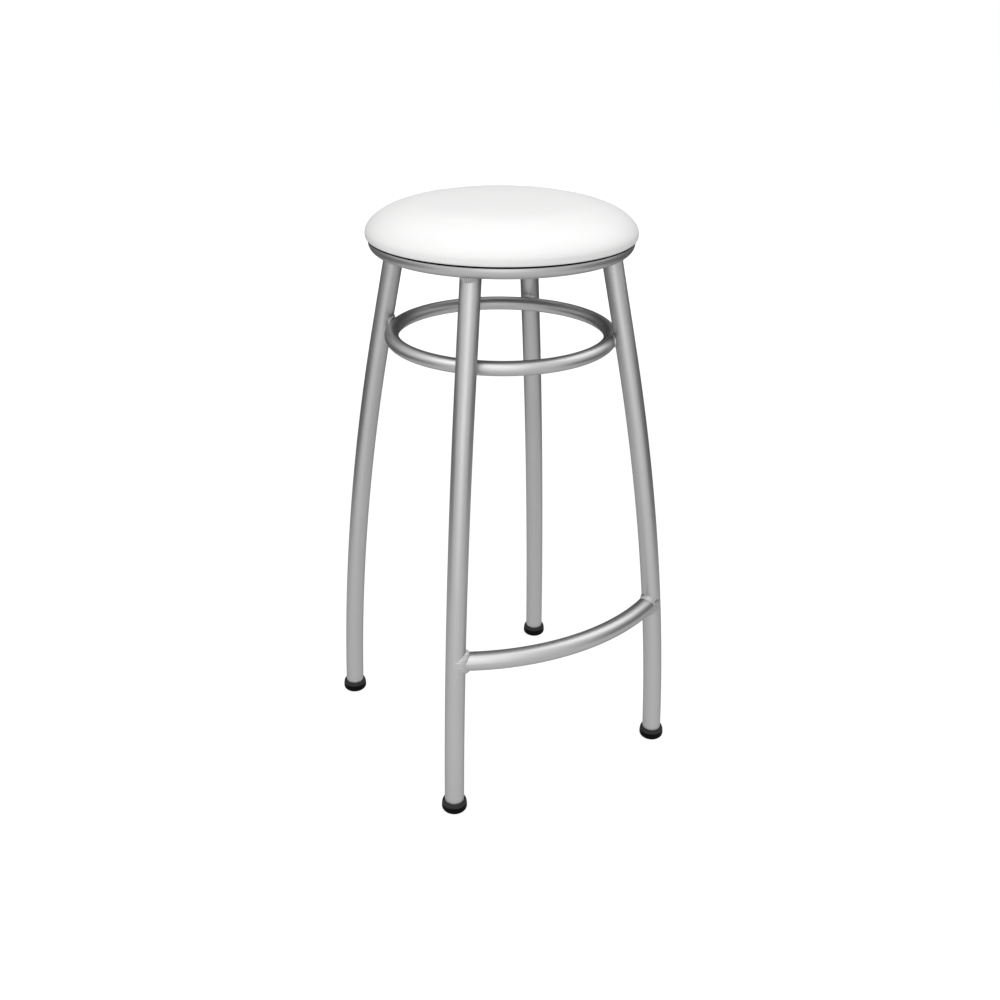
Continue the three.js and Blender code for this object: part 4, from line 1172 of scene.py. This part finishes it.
def pale_floor(finish, scene):
    """Matt floor mixed with plain white for the rays that see it, and clear from below."""
    floor, stage = scene.stool_finish.floor, scene.stool_stage
    base = finish.mix(finish.noise(3.0, 2.0), shade(floor, 0.99), shade(floor, 1.01))
    matt = finish.node("ShaderNodeBsdfDiffuse", {}, {"Color": base})
    strength = stage.floor_white / (1 - stage.floor_shade)
    white = finish.node("ShaderNodeEmission", {}, {"Color": (1.0, 1.0, 1.0), "Strength": strength})
    length_of = {"operation": "LENGTH"}
    away = finish.node("ShaderNodeVectorMath", length_of, {0: finish.place()}, "Value")
    fade = finish.rise(away, stage.floor_near, stage.floor_far)
    share = finish.seen(stage.floor_mirror) * ((1 - stage.floor_shade) + fade * stage.floor_shade)
    over = finish.node("ShaderNodeMixShader", {}, {0: share, 1: matt, 2: white})
    under = finish.node("ShaderNodeNewGeometry", {}, {}, "Backfacing")
    clear = finish.node("ShaderNodeBsdfTransparent", {}, {})
    both = finish.node("ShaderNodeMixShader", {}, {0: under, 1: over, 2: clear})
    finish.node("ShaderNodeOutputMaterial", {}, {"Surface": both})


# Operators, one for each group of like pieces

class StoolOperator:
    """What the stool's operators share."""

    bl_options = {"REGISTER", "UNDO"}


class STOOL_OT_hoops(StoolOperator, bpy.types.Operator):
    """Make the two tube hoops"""

    bl_idname = "stool.hoops"
    bl_label = "Hoops"

    def execute(self, context):
        lines = frame_lines(context.scene)
        hoops = (("top_hoop", lines.top, "top_ring"), ("lower_hoop", lines.lower, "lower_ring"))
        for name, hoop, node in hoops:
            piece = add_grid(name, set_place(hoop.grid()), True)
            dress(piece, [node], made(silver_paint))
        return {"FINISHED"}


class STOOL_OT_legs(StoolOperator, bpy.types.Operator):
    """Make the four bent legs with their copes and notches"""

    bl_idname = "stool.legs"
    bl_label = "Legs"

    def execute(self, context):
        lines = frame_lines(context.scene)
        grid = leg_grid(lines.leg, lines.top, lines.lower, context.scene.stool_tubes)
        for place, turn in LEG_TURNS.items():
            piece = add_grid(f"leg_tube_{place}", set_place(grid, turn), True)
            dress(piece, [f"leg_{place}"], made(silver_paint))
        return {"FINISHED"}


class STOOL_OT_footrest(StoolOperator, bpy.types.Operator):
    """Make the bowed footrest"""

    bl_idname = "stool.footrest"
    bl_label = "Footrest"

    def execute(self, context):
        lines = frame_lines(context.scene)
        grid = footrest_grid(lines.rest, lines.leg, context.scene.stool_tubes.fit_gap)
        piece = add_grid("footrest_tube", set_place(grid), True)
        dress(piece, ["footrest"], made(silver_paint))
        return {"FINISHED"}


class STOOL_OT_welds(StoolOperator, bpy.types.Operator):
    """Make the weld beads of the frame"""

    bl_idname = "stool.welds"
    bl_label = "Welds"

    def execute(self, context):
        lines, welds = frame_lines(context.scene), context.scene.stool_welds
        top = top_weld_grid(lines.leg, lines.top, welds)
        lower = lower_weld_grid(lines.leg, lines.lower, welds)
        tab = tab_weld_grid(lines.top, welds)
        rest = footrest_weld_grid(lines.rest, lines.leg, welds)
        beads = []
        for place, turn in LEG_TURNS.items():
            beads.append((f"top_weld_{place}", top, turn))
            beads.append((f"lower_weld_{place}", lower, turn))
        for place, turn in FIXING_TURNS.items():
            beads.append((f"tab_weld_{place}", tab, turn))
        for place, side in (("left", -1), ("right", 1)):
            beads.append((f"footrest_weld_{place}", rest * [side, 1, 1], 0.0))
        for node, grid, turn in beads:
            piece = add_grid(f"{node}_bead", set_place(grid, turn), False)
            dress(piece, [node], made(silver_paint))
        return {"FINISHED"}


class STOOL_OT_caps(StoolOperator, bpy.types.Operator):
    """Make the four rubber foot caps"""

    bl_idname = "stool.caps"
    bl_label = "Foot caps"

    def execute(self, context):
        profile = cap_profile(frame_lines(context.scene).leg, context.scene.stool_tubes.fit_gap)
        grid = turned(profile, axis_x=FOOT_RADIUS)
        for place, turn in LEG_TURNS.items():
            piece = add_grid(f"rubber_cap_{place}", set_place(grid, turn), False)
            dress(piece, [f"foot_cap_{place}"], made(cap_rubber))
        return {"FINISHED"}


class STOOL_OT_fixings(StoolOperator, bpy.types.Operator):
    """Make the gasket and the tabs, screws and washers that hold the seat"""

    bl_idname = "stool.fixings"
    bl_label = "Gasket and fixings"

    def execute(self, context):
        top = frame_lines(context.scene).top
        band = turned(gasket_profile(top, context.scene.stool_seat), HOOP_STATIONS)
        gasket = add_grid("gasket_band", set_place(band), True)
        dress(gasket, ["ring_gasket"], made(black_rubber))
        tab = tab_grid(top, context.scene.stool_tubes.fit_gap)
        washer = turned(washer_profile(), axis_x=FIXING_RADIUS)
        kinds = [
            ("tab_plate", "fixing_tab", tab, True, "painted_steel", made(silver_paint)),
            ("button_screw", "seat_screw", screw_grid(), False, "zinc_steel", made(zinc_plate)),
            ("flat_washer", "seat_washer", washer, True, "zinc_steel", made(zinc_plate)),
        ]
        for place, turn in FIXING_TURNS.items():
            for name, node, grid, joined, slot, material in kinds:
                piece = add_grid(f"{name}_{place}", set_place(grid, turn), joined)
                dress(piece, [f"{node}_{place}"], material)
        return {"FINISHED"}


class STOOL_OT_seat(StoolOperator, bpy.types.Operator):
    """Make the seat cover and fill it"""

    bl_idname = "stool.seat"
    bl_label = "Seat cover"

    def execute(self, context):
        seat = context.scene.stool_seat
        top = frame_lines(context.scene).top
        slack = seat.slack
        points, faces, free = cover_sheet(seat, top, slack)
        cover = add_piece("vinyl_cover", set_place(points), [faces], sharp=math.pi)
        fill_cover(cover, free, seat)
        fine = cover.modifiers.new("fine", "SUBSURF")
        fine.levels = fine.render_levels = 1
        wall = cover.modifiers.new("wall", "SOLIDIFY")
        wall.thickness, wall.offset = seat.cover, -1.0
        finish_modifiers(cover)
        dress(cover, ["seat_cover"], made(white_vinyl))
        return {"FINISHED"}


class STOOL_OT_core(StoolOperator, bpy.types.Operator):
    """Make the foam core, the dust cloth and the finishes of the hidden parts"""

    bl_idname = "stool.core"
    bl_label = "Foam, cloth and hidden parts"

    def execute(self, context):
        seat = context.scene.stool_seat
        top = frame_lines(context.scene).top
        core = add_grid("foam_core", set_place(turned(foam_profile(seat, top), 160)), False)
        dress(core, ["seat_foam"], made(seat_foam))
        cloth = add_cloth(seat)
        dress(cloth, ["base_cloth"], made(dust_cloth))
        refinish(["seat_board"], plywood)
        refinish([f"foot_washer_{place}" for place in LEG_TURNS], zinc_plate)
        refinish([f"tee_nut_{place}" for place in FIXING_TURNS], zinc_plate)
        return {"FINISHED"}


def foam_profile(seat, hoop):
    """The crown and side of the pad drawn in by the cover, then round the board to the axis."""
    depth = seat.cover + 2 * seat.gasket_gap
    reach = hoop.tube + 3 * seat.gasket_gap + seat.gasket + seat.cover
    board_bottom, board_top = ends_of(BOARD_MIDDLE, BOARD_HALF)
    level_turn = math.asin((board_bottom - hoop.height) / reach)
    hollow = arc([hoop.radius, hoop.height], reach, seat.lip_angle + depth / reach, level_turn)
    edge, top = BOARD_HALF[0] + seat.gasket_gap, board_top + seat.gasket_gap
    pocket = [[edge, board_bottom], [edge, top], [0.0, top]]
    return np.vstack([crown(seat, hoop, depth, 120), hollow, pocket])


CLOTH_PULL = 0.12  # share by which the cloth sags less or more between its four fixings


def add_cloth(seat):
    """The dust cloth sags by (1 - s squared) squared, where s is the share of its radius."""
    radius = CLOTH_HALF[0]
    flat, faces = disc_points(np.linspace(0.5, 1, 24) * radius)
    share = np.minimum(np.linalg.norm(flat, axis=-1) / radius, 1)
    pull = 1 + CLOTH_PULL * np.cos(4 * np.arctan2(flat[:, 1], flat[:, 0]))
    level = CLOTH_MIDDLE[2] - seat.cloth_sag * (1 - share**2) ** 2 * pull
    points = set_place(np.column_stack([flat, level]))
    cloth = add_piece("dust_cloth_sheet", points, [faces], sharp=math.pi)
    wall = cloth.modifiers.new("wall", "SOLIDIFY")
    wall.thickness, wall.offset = seat.cloth_thickness, 0.0
    finish_modifiers(cloth)
    return cloth


def refinish(nodes, build):
    """Gives some of the frame's own pieces a finish."""
    for name in nodes:
        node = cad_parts[name]
        if not node.material_slots:
            node.data.materials.append(made(build))
        for slot in node.material_slots:
            slot.material = made(build)


# Azimuth and elevation of each lamp, in degrees
LAMP_PLACES = {
    "front": (-30, 42),
    "low": (-30, 0),
    "left": (-85, 50),
    "right": (75, 50),
    "top": (0, 89),
}


class STOOL_OT_stage(StoolOperator, bpy.types.Operator):
    """Set up the floor, the lamps and the camera"""

    bl_idname = "stool.stage"
    bl_label = "Stage"

    def execute(self, context):
        scene, stage = context.scene, context.scene.stool_stage
        add_floor(stage)
        add_flags(stage)
        set_world(scene, stage)
        for name, (azimuth, elevation) in LAMP_PLACES.items():
            back = direction(math.radians(azimuth), math.radians(elevation))
            add_lamp(name, back, getattr(stage, f"{name}_power"), stage)
        add_camera(scene, stage)
        scene.view_settings.view_transform = "Standard"
        return {"FINISHED"}


def direction(azimuth, elevation):
    """The unit vector from the stool towards a place round it; azimuth 0 is on the -Y side."""
    level = math.cos(elevation)
    return Vector((math.sin(azimuth) * level, -math.cos(azimuth) * level, math.sin(elevation)))


def add_lamp(name, back, watts, stage):
    """A square soft lamp that faces the stool from the side that back points to."""
    data = bpy.data.lights.new(name, "AREA")
    data.energy, data.size = watts, stage.lamp_size
    lamp = bpy.data.objects.new(name, data)
    lamp.location = Vector((0.0, AXIS_Y, TOP_HOOP_MIDDLE[2] / 2)) + back * stage.lamp_distance
    lamp.rotation_mode = "QUATERNION"
    lamp.rotation_quaternion = back.to_track_quat("Z", "Y")
    bpy.context.scene.collection.objects.link(lamp)


def add_sheet(name, grid, build):
    """A part of the stage on an open grid of points."""
    index = np.arange(grid[..., 0].size).reshape(grid.shape[:2])
    sheet = add_piece(name, grid.reshape(-1, 3), [quads(index)])
    sheet.data.materials.append(made(build))
    return sheet


def add_flags(stage):
    """A dark wall on an arc round the back and sides, higher at the back by the square of a cosine.

    It is seen by reflections only and darkens the rims of the tubes.
    """
    azimuth = np.linspace(stage.flag_start, stage.flag_end, FLAG_STATIONS)[:, None]
    rise = np.maximum(np.cos(azimuth - (stage.flag_start + stage.flag_end) / 2), 0) ** 2
    height = (stage.flag_sides + (stage.flag_back - stage.flag_sides) * rise) * np.linspace(0, 1, 5)
    grid = set_place(round_axis(stage.flag_distance, azimuth - math.pi / 2, height))
    flags = add_sheet("flags", grid, black_felt)
    for rays in ("camera", "diffuse", "transmission", "shadow", "volume_scatter"):
        setattr(flags, f"visible_{rays}", False)


def add_camera(scene, stage):
    """The camera looks at a point on the seat's axis and is turned a little round its own axis."""
    back = direction(stage.camera_azimuth, stage.camera_height)
    right = Vector((math.cos(stage.camera_azimuth), math.sin(stage.camera_azimuth), 0.0))
    up = back.cross(right)
    cosine, sine = math.cos(stage.camera_roll), math.sin(stage.camera_roll)
    rolled_right, rolled_up = right * cosine + up * sine, up * cosine - right * sine
    data = bpy.data.cameras.new("camera")
    data.lens, data.sensor_width = stage.camera_lens, 36.0
    camera = bpy.data.objects.new("camera", data)
    turn = Matrix((rolled_right, rolled_up, back)).transposed().to_4x4()
    target = Vector((0.0, AXIS_Y, stage.camera_target))
    camera.matrix_world = Matrix.Translation(target + back * stage.camera_distance) @ turn
    scene.collection.objects.link(camera)
    scene.camera = camera


def add_floor(stage):
    """A wide level floor that looks plain white from above and keeps a faint shadow."""
    side = np.linspace(-stage.floor_half, stage.floor_half, FLOOR_STATIONS)
    across, along = np.meshgrid(side, side, indexing="ij")
    add_sheet("floor", np.stack([across, along, np.zeros(across.shape)], axis=-1), pale_floor)


def set_world(scene, stage):
    """White to the camera and in reflections, and the ambient level for everything else."""
    scene.world = bpy.data.worlds.new("studio")
    finish = Finish(scene.world)
    strength = stage.ambient + finish.seen(1.0) * (1 - stage.ambient)
    sockets = {"Color": (1.0, 1.0, 1.0), "Strength": strength}
    light = finish.node("ShaderNodeBackground", {}, sockets)
    finish.node("ShaderNodeOutputWorld", {}, {"Surface": light})


class STOOL_PT_panel(bpy.types.Panel):
    """Everything that the stool is made with"""

    bl_idname = "STOOL_PT_panel"
    bl_label = "Counter Stool"
    bl_space_type = "VIEW_3D"
    bl_region_type = "UI"
    bl_category = "Stool"

    def draw(self, context):
        for group in GROUPS:
            settings = getattr(context.scene, group)
            box = self.layout.box()
            box.label(text=group.replace("_", " ").capitalize())
            for key in type(settings).__annotations__:
                box.prop(settings, key)
        for operator in OPERATORS:
            self.layout.operator(operator.bl_idname)


GROUPS = {
    "stool_tubes": STOOL_PG_tubes,
    "stool_welds": STOOL_PG_welds,
    "stool_seat": STOOL_PG_seat,
    "stool_finish": STOOL_PG_finish,
    "stool_stage": STOOL_PG_stage,
}
OPERATORS = (
    STOOL_OT_hoops,
    STOOL_OT_legs,
    STOOL_OT_footrest,
    STOOL_OT_welds,
    STOOL_OT_caps,
    STOOL_OT_fixings,
    STOOL_OT_seat,
    STOOL_OT_core,
    STOOL_OT_stage,
)


def register():
    for made_class in (*GROUPS.values(), *OPERATORS, STOOL_PT_panel):
        bpy.utils.register_class(made_class)
    for name, group in GROUPS.items():
        setattr(bpy.types.Scene, name, bpy.props.PointerProperty(type=group))


def unregister():
    for name in GROUPS:
        delattr(bpy.types.Scene, name)
    for made_class in reversed((*GROUPS.values(), *OPERATORS, STOOL_PT_panel)):
        bpy.utils.unregister_class(made_class)


def main():
    register()
    bpy.ops.stool.hoops()
    bpy.ops.stool.legs()
    bpy.ops.stool.footrest()
    bpy.ops.stool.welds()
    bpy.ops.stool.caps()
    bpy.ops.stool.fixings()
    bpy.ops.stool.seat()
    bpy.ops.stool.core()
    bpy.ops.stool.stage()


if __name__ == "__main__":
    main()
